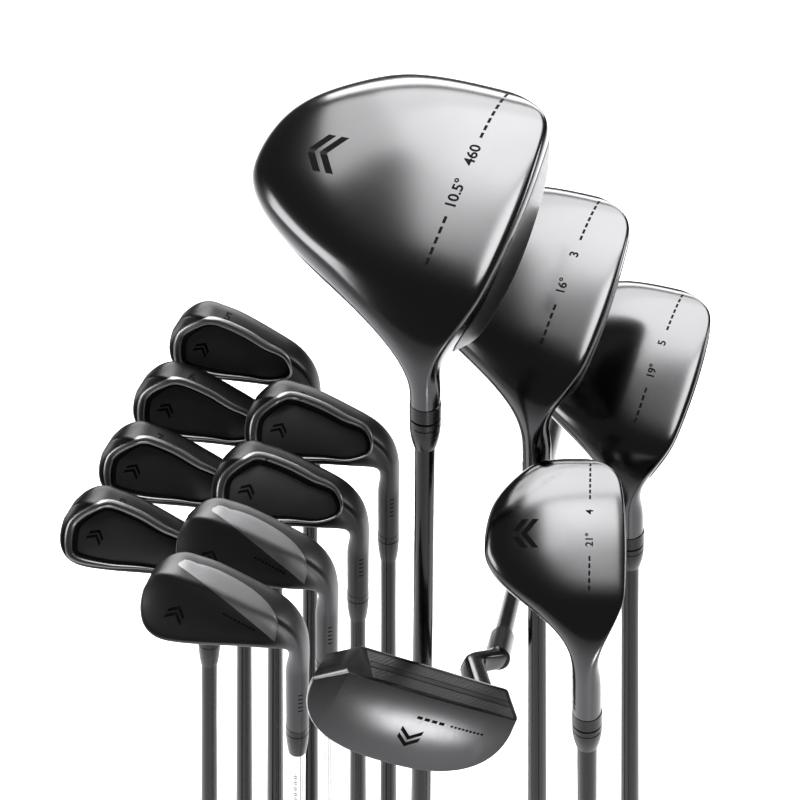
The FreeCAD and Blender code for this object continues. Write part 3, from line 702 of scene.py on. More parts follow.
def blade_section(name, t):
    """Closed row of points round the blade; past the toe's start it shrinks about its middle."""
    toe_end = BLADES[name][0]
    toe_height, sole, topline = BLADES[name][2:5]
    loft = math.radians(CLUBS[name][2])
    start = min(t, TOE_START * toe_end)
    low, top = blade_limits(name, start)
    sole = sole * (0.84 + 0.16 * smooth((start + 5.0) / 35.0))

    def on_face(height, depth):
        point = on_blade(name, 0.0, height, depth)
        return point[1], point[2]

    rows = [on_face(mix(low, top, share), 0.0) for share in (0.06, 0.35, 0.65, 0.93)]
    rows += [on_face(top, 0.35 * topline), on_face(top - 0.4, topline)]
    edge_b, edge_w = on_face(low, 0.0)
    trail = (edge_b + sole, edge_w + 3.4)
    back_top = on_face(top - 4.0, topline + 0.5)
    for share in (0.0, 0.3, 0.62, 0.88):
        sag = 1.2 * math.sin(math.pi * share)
        rows.append((mix(back_top[0], trail[0], share) - sag * math.cos(loft),
                     mix(back_top[1], trail[1], share) + sag * math.sin(loft)))
    rows.append((trail[0], trail[1] - 0.6))
    rows.append((trail[0] - 1.6, trail[1] - 2.8))
    rows.append((mix(edge_b, trail[0], 0.62), edge_w - 0.2))
    rows.append((mix(edge_b, trail[0], 0.30), edge_w - 0.5))
    rows.append((edge_b + 1.0, edge_w + 0.1))
    rows.append((edge_b + 0.1, edge_w + 1.0))
    if t > start:
        reach = (t - start) / (toe_end - start)
        size = (1.0 - reach ** 2.3) ** (1 / 2.1)
        middle = on_face(TOE_MIDDLE * toe_height, 0.35 * topline)
        rows = [(mix(middle[0], b, size), mix(middle[1], w, size)) for b, w in rows]
    return np.array([(t, b, w) for b, w in rows])


def iron_rows(name):
    toe_end = BLADES[name][0]
    end = CLUBS[name][3] - CLUBS[name][4]
    lie = CLUBS[name][1]

    def circle(along):
        return shaft_circle(name, along, IRON_HOSEL_RADIUS, HOSEL_ANGLES)

    rows = [circle(end), circle(end - 12.0), circle(50.0), circle(43.0)]
    for t, along, share in ((-13.0, 35.0, 0.80), (-7.0, 27.0, 0.48), (0.0, 24.0, 0.20)):
        rows.append(turned_section(blade_section(name, t), circle(along), lie, share))
    rows += [blade_section(name, t) for t in (8.0, 20.0, 36.0)]
    rows += [blade_section(name, share * toe_end) for share in BLADE_TOE_SHARES]
    return rows


def cavity_outline(name):
    """Control points of the back cavity's outline, (t, height up the face)."""
    toe_end = BLADES[name][0]
    lower = []
    upper = []
    for t in CAVITY_STATIONS:
        low, top = blade_limits(name, t)
        lower.append((t, low + CAVITY_SOLE))
        upper.append((t, top - CAVITY_RIM))
    nose = [(CAVITY_NOSE, mix(lower[0][1], upper[0][1], 0.5))]
    far = lower[-1][1], upper[-1][1]
    toe = [(0.86 * toe_end, mix(*far, 0.18)), (0.925 * toe_end, mix(*far, 0.55)),
           (0.86 * toe_end, mix(*far, 0.90))]
    return nose + lower + toe + upper[::-1]


def closed_curve(points, steps):
    """Closed Catmull-Rom curve through the points."""
    points = np.asarray(points, dtype=float)
    count = len(points)
    rows = []
    for i in range(count):
        p0, p1, p2, p3 = (points[(i + k - 1) % count] for k in range(4))
        for step in range(steps):
            f = step / steps
            rows.append(0.5 * (2 * p1 + (p2 - p0) * f + (2 * p0 - 5 * p1 + 4 * p2 - p3) * f * f
                               + (3 * p1 - p0 - 3 * p2 + p3) * f ** 3))
    return np.array(rows)


def shrink(outline, margins):
    """Outline moved in by a margin that may differ round it."""
    count = len(outline)
    middle = outline.mean(axis=0)
    rows = []
    for i in range(count):
        way = outline[(i + 1) % count] - outline[i - 1]
        side = np.array((-way[1], way[0])) / np.linalg.norm(way)
        if side.dot(middle - outline[i]) < 0:
            side = -side
        rows.append(outline[i] + side * margins[i])
    return np.array(rows)


def toe_and_sole_share(outline):
    """How much each outline point belongs to the toe and sole sides, from 0 to 1."""
    low, high = outline.min(axis=0), outline.max(axis=0)
    shares = []
    for t, height in outline:
        across = (t - low[0]) / (high[0] - low[0])
        upward = (height - low[1]) / (high[1] - low[1])
        shares.append(smooth(1.25 * across + 0.75 * (1.0 - upward) - 0.35))
    return shares


def make_iron(club):
    name = club.name
    place = club.head_matrix()
    loft = math.radians(CLUBS[name][2])
    out = np.array((0.0, math.cos(loft), -math.sin(loft)))
    head = skin_piece(name + "_head_body", iron_rows(name), 7, 8)
    tree = surface(head)
    outline = closed_curve(cavity_outline(name), 8)
    shares = toe_and_sole_share(outline)
    pocket = [on_blade(name, t, height, CAVITY_FLOOR - 0.8) for t, height in outline]
    combine(head, prism("pocket", pocket, out * 40.0), "DIFFERENCE")
    # floor pad, standing a little proud of the channel round it
    pad_line = shrink(outline, [1.6 + 3.4 * share for share in shares])
    pad_base = [on_blade(name, t, height, CAVITY_FLOOR - 1.4) for t, height in pad_line]
    pad = prism(name + "_cavity_pad", pad_base, out * 2.0)
    bevel(pad, 0.35, 2)
    pad_tree = surface(pad)
    # rounded lip on the toe and sole sides of the cavity
    centres = []
    radii = []
    for (t, height), share in zip(outline, shares):
        start = Vector(on_blade(name, t, height, 40.0))
        hit = tree.ray_cast(start, -Vector(out))[0]
        radius = mix(0.5, 2.5, share)
        centres.append(np.array(hit) - out * radius * RIM_SINK_DEEPER.get(name, RIM_SINK))
        radii.append(radius)
    rim = ring_loop(name + "_cavity_rim", centres, [out] * len(centres), radii, 14)
    blade_marks(club, pad_tree, tree, place, out)
    club.settle(head, place, "iron_head", [name + "_head"], MATERIALS["iron"], 28.0)
    club.settle(pad, place, "iron_head", [], MATERIALS["pad"], 30.0)
    club.settle(rim, place, "iron_head", [], MATERIALS["rim"], 60.0)


def make_wedge(club):
    name = club.name
    place = club.head_matrix()
    loft = math.radians(CLUBS[name][2])
    toe_end = BLADES[name][0]
    out = np.array((0.0, math.cos(loft), -math.sin(loft)))
    head = skin_piece(name + "_head_body", iron_rows(name), 7, 8)
    tree = surface(head)
    # lens-shaped grey facet between the sole band and a straight crease, rounded at both ends
    count = 30
    lower = []
    upper = []
    for index in range(count + 1):
        share = index / count
        t = mix(3.0, 0.87 * toe_end, share)
        crease = mix(25.5, 14.0, share)
        band = blade_limits(name, min(t, TOE_START * toe_end))[0] + 6.0
        from_heel = min(share / 0.55, 1.0)
        from_toe = min((1.0 - share) / 0.10, 1.0)
        band = mix(crease, band, math.sqrt(1.0 - (1.0 - from_heel) ** 2))
        band = mix(mix(crease, band, 0.3), band, math.sqrt(1.0 - (1.0 - from_toe) ** 2))
        lower.append((t, min(band, crease - 0.05)))
        upper.append((t, crease))
    facet = surface_patch(name + "_facet", lower, upper, name, tree, out, 0.35)
    blade_marks(club, tree, tree, place, out)
    club.settle(head, place, "wedge_head", [name + "_head"], MATERIALS["wedge"], 28.0)
    club.settle(facet, place, "wedge_head", [], MATERIALS["facet"], 24.0)


def surface_patch(piece_name, lower, upper, name, tree, out, proud):
    """Thin raised facet over the back of the blade between two lines, closed on all sides."""
    across = len(lower)
    upward = 10
    top = []
    base = []
    for i in range(across):
        for j in range(upward + 1):
            share = j / upward
            t = lower[i][0]
            height = mix(lower[i][1], upper[i][1], share)
            start = Vector(on_blade(name, t, height, 40.0))
            hit = tree.ray_cast(start, -Vector(out))[0]
            swell = proud * min(1.0, 6.0 * share, 6.0 * (1.0 - share) + 0.4)
            swell *= min(1.0, 0.5 * i, 0.5 * (across - 1 - i))
            top.append(np.array(hit) + out * (swell + 0.02))
            base.append(np.array(hit) - out * 0.6)
    wide = upward + 1
    offset = len(top)
    faces = []
    for i in range(across - 1):
        for j in range(upward):
            a = i * wide + j
            quad = (a, a + 1, a + wide + 1, a + wide)
            faces.append(quad)
            faces.append(tuple(offset + v for v in reversed(quad)))
    ring = [i * wide for i in range(across)]
    ring += [(across - 1) * wide + j for j in range(1, upward + 1)]
    ring += [i * wide + upward for i in range(across - 2, -1, -1)]
    ring += [j for j in range(upward - 1, 0, -1)]
    for a, b in zip(ring, ring[1:] + ring[:1]):
        faces.append((a, b, offset + b, offset + a))
    return mesh_piece(piece_name, top + base, faces)


# -------------------------------------------------------------------------------- marks on heads

def text_shape(text, size):
    """Flat mesh of generic numerals, centred: its vertices and faces."""
    curve = bpy.data.curves.new("figures", "FONT")
    curve.body = text
    curve.size = size
    curve.align_x = "CENTER"
    curve.align_y = "CENTER"
    curve.offset = 0.022 * size
    curve.resolution_u = 4
    holder = link(curve, "figures")
    graph = bpy.context.evaluated_depsgraph_get()
    mesh = bpy.data.meshes.new_from_object(holder.evaluated_get(graph))
    verts = [(v.co.x, v.co.y) for v in mesh.vertices]
    faces = [tuple(p.vertices) for p in mesh.polygons]
    bpy.data.objects.remove(holder)
    bpy.data.meshes.remove(mesh)
    return verts, faces


def bar_shape(width, height, x=0.0, y=0.0, slant=0.0):
    half = width / 2.0
    tall = height / 2.0
    verts = [(x - half - slant, y - tall), (x + half - slant, y - tall),
             (x + half + slant, y + tall), (x - half + slant, y + tall)]
    return verts, [(0, 1, 2, 3)]


def chevrons(size, count=2):
    """Nested chevrons, pointing up."""
    verts = []
    faces = []
    thick = 0.17 * size
    for index in range(count):
        drop = -index * 0.36 * size
        for side in (-1.0, 1.0):
            start = len(verts)
            peak = drop + 0.30 * size
            foot = drop - 0.10 * size
            verts += [(0.0, peak), (side * 0.5 * size, foot),
                      (side * 0.5 * size, foot - thick * 1.25), (0.0, peak - thick * 1.25)]
            faces.append(tuple(range(start, start + 4)))
    return verts, faces


def joined(shapes):
    verts = []
    faces = []
    for more_verts, more_faces in shapes:
        start = len(verts)
        verts += more_verts
        faces += [tuple(start + v for v in face) for face in more_faces]
    return verts, faces


def dashes(count, width, height, gap):
    span = count * width + (count - 1) * gap
    return joined([bar_shape(width, height, -span / 2.0 + width / 2.0 + index * (width + gap))
                   for index in range(count)])


def shifted(shape, x, y, turn=0.0):
    verts, faces = shape
    c, s = math.cos(turn), math.sin(turn)
    return [(x + c * a - s * b, y + s * a + c * b) for a, b in verts], faces


def divided(shape, longest):
    """The flat shape with its faces cut until no edge is longer than given."""
    mesh = bpy.data.meshes.new("flat")
    mesh.from_pydata([(x, y, 0.0) for x, y in shape[0]], [], shape[1])
    work = bmesh.new()
    work.from_mesh(mesh)
    bmesh.ops.triangulate(work, faces=work.faces)
    for _ in range(5):
        long_edges = [edge for edge in work.edges if edge.calc_length() > longest]
        if not long_edges:
            break
        bmesh.ops.subdivide_edges(work, edges=long_edges, cuts=1)
        bmesh.ops.triangulate(work, faces=work.faces)
    work.to_mesh(mesh)
    work.free()
    verts = [(v.co.x, v.co.y) for v in mesh.vertices]
    faces = [tuple(p.vertices) for p in mesh.polygons]
    bpy.data.meshes.remove(mesh)
    return verts, faces


def stamp(name, shape, tree, centre, right, up, out, height, depth):
    """Lays a flat shape on a surface, as a thin closed inlay that follows it."""
    verts, faces = divided(shape, 2.0)
    top = []
    base = []
    for x, y in verts:
        start = Vector(centre + right * x + up * y + out * 60.0)
        hit, normal = tree.ray_cast(start, -Vector(out))[:2]
        if hit is None:
            hit, normal = tree.find_nearest(Vector(centre + right * x + up * y))[:2]
        if normal.dot(Vector(out)) < 0:
            normal = -normal
        top.append(np.array(hit + normal * height))
        base.append(np.array(hit - normal * depth))
    offset = len(top)
    solid = list(faces) + [tuple(offset + v for v in reversed(face)) for face in faces]
    uses = {}
    for face in faces:
        for a, b in zip(face, face[1:] + face[:1]):
            uses[(a, b)] = uses.get((a, b), 0) + 1
    for a, b in uses:
        if (b, a) not in uses:
            solid.append((a, b, offset + b, offset + a))
    return mesh_piece(name, top + base, solid)


def add_mark(club, place, slot, name, shape, tree, centre, right, up, out,
             height=MARK_PROUD, depth=MARK_DEPTH):
    """Stamps a dark mark on one of the club's surfaces."""
    piece = stamp(name, shape, tree, centre, right, up, out, height, depth)
    club.settle(piece, place, slot, [], MATERIALS["mark"], 30.0)


def unit(vector):
    vector = np.asarray(vector, dtype=float)
    return vector / np.linalg.norm(vector)


def wood_marks(club, tree, place):
    """Row of numerals and dashes along the face side of the sole, and an emblem at the back."""
    name = club.name
    toe, front, depth = WOODS[name][:3]
    size = 0.052 * toe
    out = np.array((0.0, 0.0, -1.0))
    run = np.array((1.0, 0.0, 0.0))
    rise = np.array((0.0, 1.0, 0.0))
    row = joined([shifted(dashes(5, 0.55 * size, 0.22 * size, 0.28 * size), -3.4 * size, 0.0),
                  shifted(text_shape(NUMBERS[name], 1.15 * size), 0.4 * size, 0.0),
                  shifted(text_shape(WOOD_NAMES[name], 1.15 * size), 3.6 * size, 0.0),
                  shifted(dashes(7, 0.45 * size, 0.22 * size, 0.24 * size), 7.4 * size, 0.0)])
    centre = np.array((0.44 * toe, front + 0.19 * depth, 0.0))
    add_mark(club, place, "wood_head", name + "_sole_figures", row, tree, centre, run, rise, out)
    if name in ("driver", "hybrid"):
        emblem = chevrons(0.16 * toe if name == "driver" else 0.17 * toe)
        centre = np.array((0.50 * toe, front + 0.72 * depth, 0.0))
        add_mark(club, place, "wood_head", name + "_sole_emblem", emblem, tree, centre, run, rise, out)
    hosel_marks(club, tree, place, CLUBS[name][3] - CLUBS[name][4] - 5.0, "wood_head", 2)


def hosel_marks(club, tree, place, along, slot, count):
    """Short upright row of dashes sunk into the back of the hosel."""
    name = club.name
    axis = np.array((-math.cos(club.lie), 0.0, math.sin(club.lie)))
    inner = np.array((math.sin(club.lie), 0.0, math.cos(club.lie)))
    back = np.array((0.0, 1.0, 0.0))
    out = unit(0.86 * back - 0.5 * inner)
    right = unit(np.cross(axis, out))
    shape = joined([bar_shape(2.6, 1.0, 0.0, index * 3.2) for index in range(count)])
    add_mark(club, place, slot, name + "_hosel_marks", shape, tree, axis * along, right, -axis, out,
             HOSEL_MARK_PROUD, HOSEL_MARK_DEPTH)


def blade_marks(club, floor_tree, skin_tree, place, out):
    """Emblem near the toe, the club's number on the sole band, dashes on wedges and hosels."""
    name = club.name
    toe_end = BLADES[name][0]
    wedge = name.startswith("wedge")
    slot = "wedge_head" if wedge else "iron_head"
    rise = unit(on_blade(name, 0.0, 10.0, 0.0) - on_blade(name, 0.0, 0.0, 0.0))
    run = np.array((1.0, 0.0, 0.0))
    centre = on_blade(name, 0.73 * toe_end, 30.0 if not wedge else 35.0, 8.0)
    emblem = chevrons(WEDGE_EMBLEM_SIZE if wedge else EMBLEM_SIZE)
    add_mark(club, place, slot, name + "_toe_emblem", emblem, floor_tree, centre, -run, -rise, out)
    down = unit(np.array((0.0, 0.45, -1.0)))
    ahead = unit(np.cross(run, down))
    centre = np.array((0.70 * toe_end, BLADES[name][3] * 0.40, 0.0))
    number = text_shape(NUMBERS[name], SOLE_NUMBER_SIZE)
    add_mark(club, place, slot, name + "_sole_number", number, skin_tree, centre, -run, -ahead, down)
    if wedge:
        row = dashes(9, 1.5, 1.0, 0.7)
        centre = on_blade(name, 25.0, 25.5, 8.0)
        add_mark(club, place, slot, name + "_back_dashes", row, floor_tree, centre, -run, -rise, out)
    hosel_marks(club, skin_tree, place, CLUBS[name][3] - CLUBS[name][4] - 18.0, slot, 5)


# --------------------------------------------------------------------------------------- putter

def half_moon(inset, w, count=48):
    """Closed half-moon outline at height w, straight front and round back."""
    heel = PUTTER_HEEL + inset
    toe = PUTTER_HEEL + PUTTER_WIDTH - inset - PUTTER_TOE_TAPER * w / PUTTER_HEIGHT
    behind = PUTTER_DEPTH - PUTTER_SHOULDER - inset
    middle = (heel + toe) / 2.0
    half = (toe - heel) / 2.0
    points = [(toe - PUTTER_TOE_CUT, PUTTER_FRONT, w)]
    for index in range(count + 1):
        angle = math.pi * index / count
        across = signed_power(math.cos(angle), 0.8)
        back = PUTTER_FRONT + PUTTER_SHOULDER + behind * math.sin(angle) ** 0.85
        points.append((middle + half * across, back, w))
    points.append((heel + 1.0, PUTTER_FRONT, w))
    return np.array(points)


def putter_neck(lie):
    """Plumber's neck: a rounded square post that turns into a round boss on the shaft's axis."""
    axis = np.array((-math.cos(lie), 0.0, math.sin(lie)))
    inner = np.array((math.sin(lie), 0.0, math.cos(lie)))
    back = np.array((0.0, 1.0, 0.0))
    up = np.array((0.0, 0.0, 1.0))
    across = np.array((1.0, 0.0, 0.0))
    foot = np.array((PUTTER_NECK_T, PUTTER_NECK_B, PUTTER_HEIGHT - 2.0))
    top = np.array((PUTTER_NECK_T, PUTTER_NECK_B, PUTTER_HEIGHT + PUTTER_NECK_HEIGHT))
    bend = axis * PUTTER_NECK_BEND
    stations = [(foot, across), (mix(foot, top, 0.5), across), (top - up * 5.0, across),
                (top, unit(across + 0.2 * inner)), (mix(top, bend, 0.5), unit(across + inner)),
                (bend, inner), (bend + axis * 3.0, inner)]
    rows = []
    sides = 32
    for index, (centre, side) in enumerate(stations):
        power = 0.55 if index < 5 else 0.8
        half = PUTTER_NECK / 2.0 if index < 6 else PUTTER_BOSS_RADIUS - 0.6
        row = []
        for k in range(sides):
            angle = 2 * math.pi * k / sides
            row.append(centre + side * half * signed_power(math.cos(angle), power)
                       + back * half * signed_power(math.sin(angle), power))
        rows.append(row)
    rows = clamped_points(np.array(rows), 6)
    neck = grid_piece("neck", rows)
    boss_rows = []
    profile = ((0.0, 0.90), (0.6, 1.0), (PUTTER_BOSS_LENGTH - 0.6, 1.0), (PUTTER_BOSS_LENGTH, 0.93))
    for along, size in profile:
        radius = PUTTER_BOSS_RADIUS * size
        boss_rows.append([bend + axis * along + radius * (math.cos(a) * inner + math.sin(a) * back)
                          for a in 2 * math.pi * np.arange(48) / 48])
    return neck, grid_piece("boss", np.array(boss_rows))


def milled_face(low, high, width_low, width_high):
    """Insert with fine milled bands on either side of a smooth band, as a closed slab."""
    across = 300
    upward = 96
    top = []
    for i in range(across + 1):
        for j in range(upward + 1):
            t = mix(width_low, width_high, i / across)
            share = j / upward
            w = mix(low, high, share)
            dip = 0.0
            if 0.05 < share < 0.40 or 0.60 < share < 0.95:
                dip = 0.10 * (1.0 + math.sin(2.6 * (t + w))) * (1.0 + math.sin(2.6 * (t - w))) / 2.0
            if share in (0.0, 1.0) or i in (0, across):
                dip = 0.3
            for line in (0.40, 0.60):
                if abs(share - line) < 0.014:
                    dip = 0.35
            top.append((t, PUTTER_FRONT + dip, w))
    base = [(t, PUTTER_FRONT + PUTTER_INSERT, w) for t, b, w in top]
    wide = upward + 1
    offset = len(top)
    faces = []
    for i in range(across):
        for j in range(upward):
            a = i * wide + j
            faces.append((a, a + 1, a + wide + 1, a + wide))
    ring = [j for j in range(wide)] + [i * wide + upward for i in range(1, across + 1)]
    ring += [across * wide + j for j in range(upward - 1, -1, -1)]
    ring += [i * wide for i in range(across - 1, 0, -1)]
    for a, b in zip(ring, ring[1:] + ring[:1]):
        faces.append((a, b, offset + b, offset + a))
    faces.append(tuple(offset + v for v in ring))
    used = sorted({v for face in faces for v in face})
    index_of = {v: i for i, v in enumerate(used)}
    verts = top + base
    return mesh_piece("putter_milled_insert", [verts[v] for v in used],
                      [tuple(index_of[v] for v in face) for face in faces])


def camber_sole(body):
    """Cuts the flat sole down to a long arc from heel to toe."""
    middle = PUTTER_HEEL + PUTTER_WIDTH / 2.0
    half = PUTTER_WIDTH / 2.0
    ahead = PUTTER_FRONT - 20.0
    outline = [(middle + 1.1 * half, ahead, -9.0), (middle - 1.1 * half, ahead, -9.0)]
    for share in np.linspace(-1.1, 1.1, 45):
        outline.append((middle + half * share, ahead, PUTTER_CAMBER * share ** 2))
    combine(body, prism("camber", outline, np.array((0.0, 100.0, 0.0))), "DIFFERENCE")


def make_putter(club):
    """Half-moon head whose sole is cambered from heel to toe, its neck, and the face insert."""
    place = club.head_matrix()
    stations = ((PUTTER_SOLE_INSET + 1.2, 0.0), (PUTTER_SOLE_INSET * 0.6, 0.9), (0.5, 3.2), (0.0, 5.5),
                (0.0, PUTTER_HEIGHT - 1.2), (1.0, PUTTER_HEIGHT))
    rows = [half_moon(inset, w) for inset, w in stations]
    body = grid_piece("putter_head_body", np.array(rows))
    camber_sole(body)
    tree = surface(body)
    margin = PUTTER_INSERT_MARGIN
    face_width = PUTTER_WIDTH - PUTTER_TOE_CUT - PUTTER_TOE_TAPER
    low_t = PUTTER_HEEL + margin
    high_t = low_t + face_width - 2 * margin
    high_w = PUTTER_HEIGHT - margin + 1.0
    low_w = high_w - (PUTTER_HEIGHT - 2 * margin + 1.0)
    recess = [(low_t, PUTTER_FRONT - 2.0, low_w), (high_t, PUTTER_FRONT - 2.0, low_w),
              (high_t, PUTTER_FRONT - 2.0, high_w), (low_t, PUTTER_FRONT - 2.0, high_w)]
    combine(body, prism("recess", recess, np.array((0.0, 2.0 + PUTTER_INSERT, 0.0))), "DIFFERENCE")
    bevel(body, 0.5, 3, 40.0)
    neck, boss = putter_neck(club.lie)
    combine(body, neck, "UNION")
    combine(body, boss, "UNION")
    insert = milled_face(low_w + 0.05, high_w - 0.05, low_t + 0.05, high_t - 0.05)
    putter_marks(club, tree, place)
    club.settle(body, place, "putter_head", ["putter_head"], MATERIALS["putter"], 28.0)
    club.settle(insert, place, "putter_insert", ["putter_insert"], MATERIALS["milled"], 20.0)


def putter_marks(club, tree, place):
    run = np.array((1.0, 0.0, 0.0))
    ahead = np.array((0.0, -1.0, 0.0))
    out = np.array((0.0, 0.0, -1.0))
    row = joined([dashes(4, 2.6, 1.6, 1.2), shifted(dashes(9, 1.2, 1.1, 0.8), 19.0, 0.0)])
    centre = np.array((24.0, PUTTER_FRONT + 12.0, 0.0))
    add_mark(club, place, "putter_head", "putter_sole_dashes", row, tree, centre, -run, -ahead, out)
    centre = np.array((30.0, PUTTER_FRONT + 26.0, 0.0))
    emblem = chevrons(PUTTER_EMBLEM_SIZE)
    add_mark(club, place, "putter_head", "putter_sole_emblem", emblem, tree, centre, -run, -ahead, out)


# ------------------------------------------------------------------- shafts, ferrules and grips

def turned(name, profile):
    """Closed ring of revolution from (radius, z) points that go round a closed section."""
    turn = 2 * math.pi * np.arange(TURNED_SIDES) / TURNED_SIDES
    return closed_tube(name, [circle_row(radius, z, turn) for radius, z in profile])


def make_shaft(club, top, tip, steps):
    start = SHAFT_BUTT_LENGTH
    end = top - SHAFT_TIP_LENGTH
    outside = [(SHAFT_BUTT_RADIUS, GRIP_CAP), (SHAFT_BUTT_RADIUS, start)]
    for step in range(steps):
        low = mix(start + 60.0, end, step / steps)
        outside += [(mix(SHAFT_BUTT_RADIUS, tip, step / steps), low),
                    (mix(SHAFT_BUTT_RADIUS, tip, (step + 1) / steps), low + 3.0)]
    outside += [(tip, end), (tip, top)]
    inside = [(radius - 1.2, z) for radius, z in reversed(outside)]
    piece = turned(club.name + "_shaft_tube", outside + inside)
    wedge = club.name.startswith("wedge")
    material = MATERIALS["chrome"] if wedge else MATERIALS["shaft"]
    slot = "wedge_shaft" if wedge else "shaft"
    place = club.shaft_matrix()
    if wedge:
        band = []
        tree = surface(piece)
        for index in range(16):
            band.append(bar_shape(2.2 if index % 3 else 3.4, 0.8, 0.0, index * 1.7))
        out = np.array((0.0, 1.0, 0.0))
        base = np.array((0.0, 0.0, top - SHAFT_DEPTH - 22.0 - 42.0))
        right = np.array((1.0, 0.0, 0.0))
        up = np.array((0.0, 0.0, 1.0))
        add_mark(club, place, slot, club.name + "_shaft_print", joined(band), tree, base, right, up, out,
                 SHAFT_PRINT_PROUD, SHAFT_PRINT_DEPTH)
    club.settle(piece, place, slot, [club.name + "_shaft"], material, 20.0)


def make_ferrule(club, base, length, radius, tip, collar):
    place = club.shaft_matrix()
    z = base
    if collar:
        outer = radius + 0.08
        band = turned(club.name + "_collar", [
            (tip, z), (outer - 0.3, z), (outer, z - 0.4), (outer, z - collar + 0.4),
            (outer - 0.3, z - collar), (tip, z - collar)])
        z -= collar + 0.6
        length -= collar + 0.6
        club.settle(band, place, "ferrule", [], MATERIALS["ferrule"], 16.0)
    end = tip + FERRULE_END_GAP
    profile = [(tip, z), (radius - 0.1, z), (radius, z - 0.3)]
    for share, size in ((0.18, 0.0), (0.20, -0.22), (0.22, -0.22), (0.24, 0.0)):
        profile.append((radius + size, z - share * length))
    for step in range(1, 9):
        share = step / 8.0
        profile.append((mix(radius, end, share ** 1.8), z - mix(0.26, 1.0, share) * length))
    profile.append((tip, z - length))
    piece = turned(club.name + "_ferrule_sleeve", profile)
    club.settle(piece, place, "ferrule", [club.name + "_ferrule"], MATERIALS["ferrule"], 16.0)


def grip_radius(z):
    """Outside of the grip's sleeve, tapering from the cap to the mouth."""
    butt = GRIP_BUTT_RADIUS
    tip = GRIP_TIP_RADIUS
    marks = ((0.0, butt - 0.1), (9.0, butt - 0.1), (14.0, butt - 0.9), (95.0, mix(butt, tip, 0.42)),
             (190.0, mix(butt, tip, 0.78)), (GRIP_LENGTH - 5.0, tip + 0.3), (GRIP_LENGTH, tip - 0.3))
    for (z0, r0), (z1, r1) in zip(marks, marks[1:]):
        if z <= z1:
            return mix(r0, r1, (z - z0) / (z1 - z0))
    return marks[-1][1]


def make_grip(club, flat=0.0):
    """Rubber sleeve with rows of small sunk dots between plain bands, and a domed cap."""
    sides = GRIP_SIDES
    turn = 2 * math.pi * np.arange(sides) / sides
    heights = [0.0, 0.3, 1.0, 2.0, GRIP_EDGE]
    heights += list(np.arange(5.0, GRIP_LENGTH - 0.5, 1.25)) + [GRIP_LENGTH]
    rows = []
    for z in (GRIP_CAP, 0.0):
        rows.append(circle_row(VENT_RADIUS, z, turn))
    for index, z in enumerate(heights):
        radius = grip_radius(z)
        if z < GRIP_EDGE:
            lift = GRIP_EDGE - z
            radius = GRIP_BUTT_RADIUS - 0.1 - GRIP_EDGE + math.sqrt(max(GRIP_EDGE ** 2 - lift ** 2, 0.0))
        row_radius = np.full(sides, radius)
        band = z % 46.0
        if 18.0 < z < GRIP_LENGTH - 12.0 and band > 6.0 and index % 2:
            pattern = np.where((np.arange(sides) + index // 2) % 2 == 0, -0.32, 0.0)
            row_radius = row_radius + pattern
        if 14.0 < z < GRIP_LENGTH - 8.0 and (band < 1.3 or 4.4 < band < 5.8):
            row_radius = row_radius - 0.3
        x = row_radius * np.cos(turn)
        y = row_radius * np.sin(turn)
        if flat and z > 12.0:
            y = np.maximum(y, flat)
        rows.append(np.stack([x, y, np.full(sides, z)], axis=1))
    for z in (GRIP_LENGTH, GRIP_CAP):
        rows.append(circle_row(SHAFT_BUTT_RADIUS, z, turn))
    piece = closed_tube(club.name + "_grip_sleeve", rows)
    club.settle(piece, club.shaft_matrix(), "grip", [club.name + "_grip"], MATERIALS["grip"], 30.0)


# ------------------------------------------------------------------------------------ the set

def make_club(club):
    name = club.name
    end, ferrule, tip = CLUBS[name][3:6]
    base = CLUBS[name][0] - end + ferrule
    make_shaft(club, base + SHAFT_DEPTH, tip, WEDGE_STEPS if name.startswith("wedge") else 0)
    make_grip(club)
    if name in WOODS:
        make_wood(club)
        make_ferrule(club, base, ferrule, WOOD_HOSEL_RADIUS, tip, WOOD_COLLAR)
    else:
        if name.startswith("wedge"):
            make_wedge(club)
        else:
            make_iron(club)
        make_ferrule(club, base, ferrule, IRON_HOSEL_RADIUS, tip, 0.0)


clubs = find_clubs()
for club in clubs.values():
    if club.name == "putter":
        make_shaft(club, PUTTER_LENGTH - PUTTER_NECK_BEND - 2.0, PUTTER_TIP_RADIUS, 0)
        make_grip(club, PUTTER_GRIP_FLAT)
        make_putter(club)
    else:
        make_club(club)


# ------------------------------------------------------------------------ camera, floor, lights

SENSOR_WIDTH = 36.0
VIEW_END = 50.0
# The floor reaches this far each way, and lies this far under the clubs, in metres
FLOOR_HALF = 14.0
FLOOR_GAP = 0.0005
WORLD_STRENGTH = 0.12
SUN_ENERGY = 1.2
SUN_SPREAD = 50.0
SUN_TILT = -12.0

# Soft boxes: name, place, target, width and height in metres, power in watts. Each lies where a
# polished sole or blade reflects it towards the camera
SOFTBOXES = (
    ("ceiling_box", (-0.15, 0.90, 3.0), (-0.15, 0.90, 0.0), (1.5, 2.4), 108.0),
    ("ceiling_left_box", (-1.25, 1.00, 3.0), (-1.25, 1.00, 0.0), (0.7, 1.8), 27.0),
    ("fading_box", (-0.26, -0.62, 3.0), (-0.26, -0.62, 0.0), (0.64, 0.5), 11.0),
    ("back_box", (0.2, 3.2, 2.6), (0.2, 2.2, 0.0), (3.6, 1.4), 190.0),
    ("left_box", (-2.6, -0.3, 1.3), (0.0, -0.2, 1.0), (1.3, 0.8), 32.0),
    ("right_box", (2.4, -0.2, 2.0), (0.0, -0.2, 1.0), (0.6, 1.4), 30.0),
    ("low_box", (0.39, -1.65, 0.27), (0.03, -0.38, 0.95), (0.28, 0.24), 4.5))


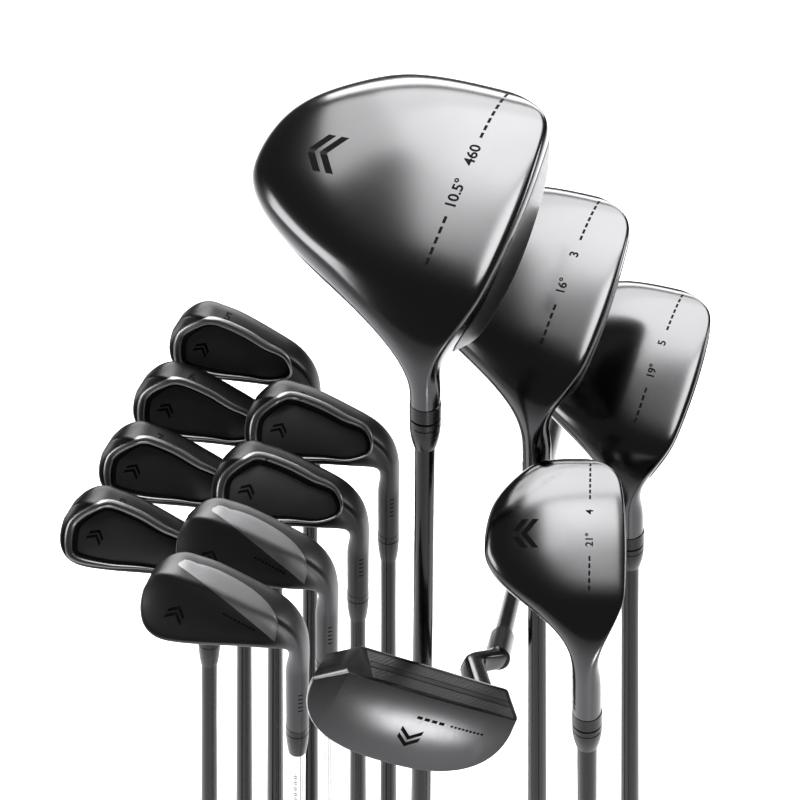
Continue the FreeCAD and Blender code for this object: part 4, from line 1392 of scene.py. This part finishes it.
def add_camera():
    data = bpy.data.cameras.new("camera")
    data.lens = CAMERA_LENS
    data.sensor_width = SENSOR_WIDTH
    data.clip_end = VIEW_END
    camera = bpy.data.objects.new("camera", data)
    bpy.context.scene.collection.objects.link(camera)
    camera.location = [value * MM for value in CAMERA_FROM_SET]
    camera.rotation_euler = (math.radians(CAMERA_PITCH), 0.0, 0.0)
    bpy.context.scene.camera = camera


def add_floor():
    half = FLOOR_HALF
    corners = [(-half, -half, 0.0), (half, -half, 0.0), (half, half, 0.0), (-half, half, 0.0)]
    floor = mesh_piece("floor", corners, [(0, 1, 2, 3)])
    if floor.data.polygons[0].normal.z < 0:
        floor.data.flip_normals()
    material, nodes, links, shader = new_material("pale_floor")
    shader.inputs["Roughness"].default_value = 0.9
    shader.inputs["Specular IOR Level"].default_value = 0.1
    noise = add_noise(nodes, links, 3.0, 2.0)
    links.new(tint_between(nodes, links, noise.outputs["Fac"], 0.90, 0.92),
              shader.inputs["Base Color"])
    floor.data.materials.append(material)
    floor.location.z = -FLOOR_GAP


def add_softbox(name, place, target, size, power):
    data = bpy.data.lights.new(name, "AREA")
    data.shape = "RECTANGLE"
    data.size, data.size_y = size
    data.energy = power
    lamp = bpy.data.objects.new(name, data)
    bpy.context.scene.collection.objects.link(lamp)
    lamp.location = place
    way = Vector(target) - Vector(place)
    lamp.rotation_euler = way.to_track_quat("-Z", "Y").to_euler()


def add_lights():
    bpy.context.scene.view_settings.view_transform = "Standard"
    world = bpy.data.worlds.new("studio")
    bpy.context.scene.world = world
    world.use_nodes = True
    backdrop = world.node_tree.nodes["Background"].inputs
    backdrop["Color"].default_value = (1.0, 1.0, 1.0, 1.0)
    backdrop["Strength"].default_value = WORLD_STRENGTH
    sun = bpy.data.lights.new("overhead", "SUN")
    sun.energy = SUN_ENERGY
    sun.angle = math.radians(SUN_SPREAD)
    lamp = bpy.data.objects.new("overhead", sun)
    bpy.context.scene.collection.objects.link(lamp)
    lamp.rotation_euler = (math.radians(SUN_TILT), 0.0, 0.0)
    for row in SOFTBOXES:
        add_softbox(*row)


add_camera()
add_floor()
add_lights()
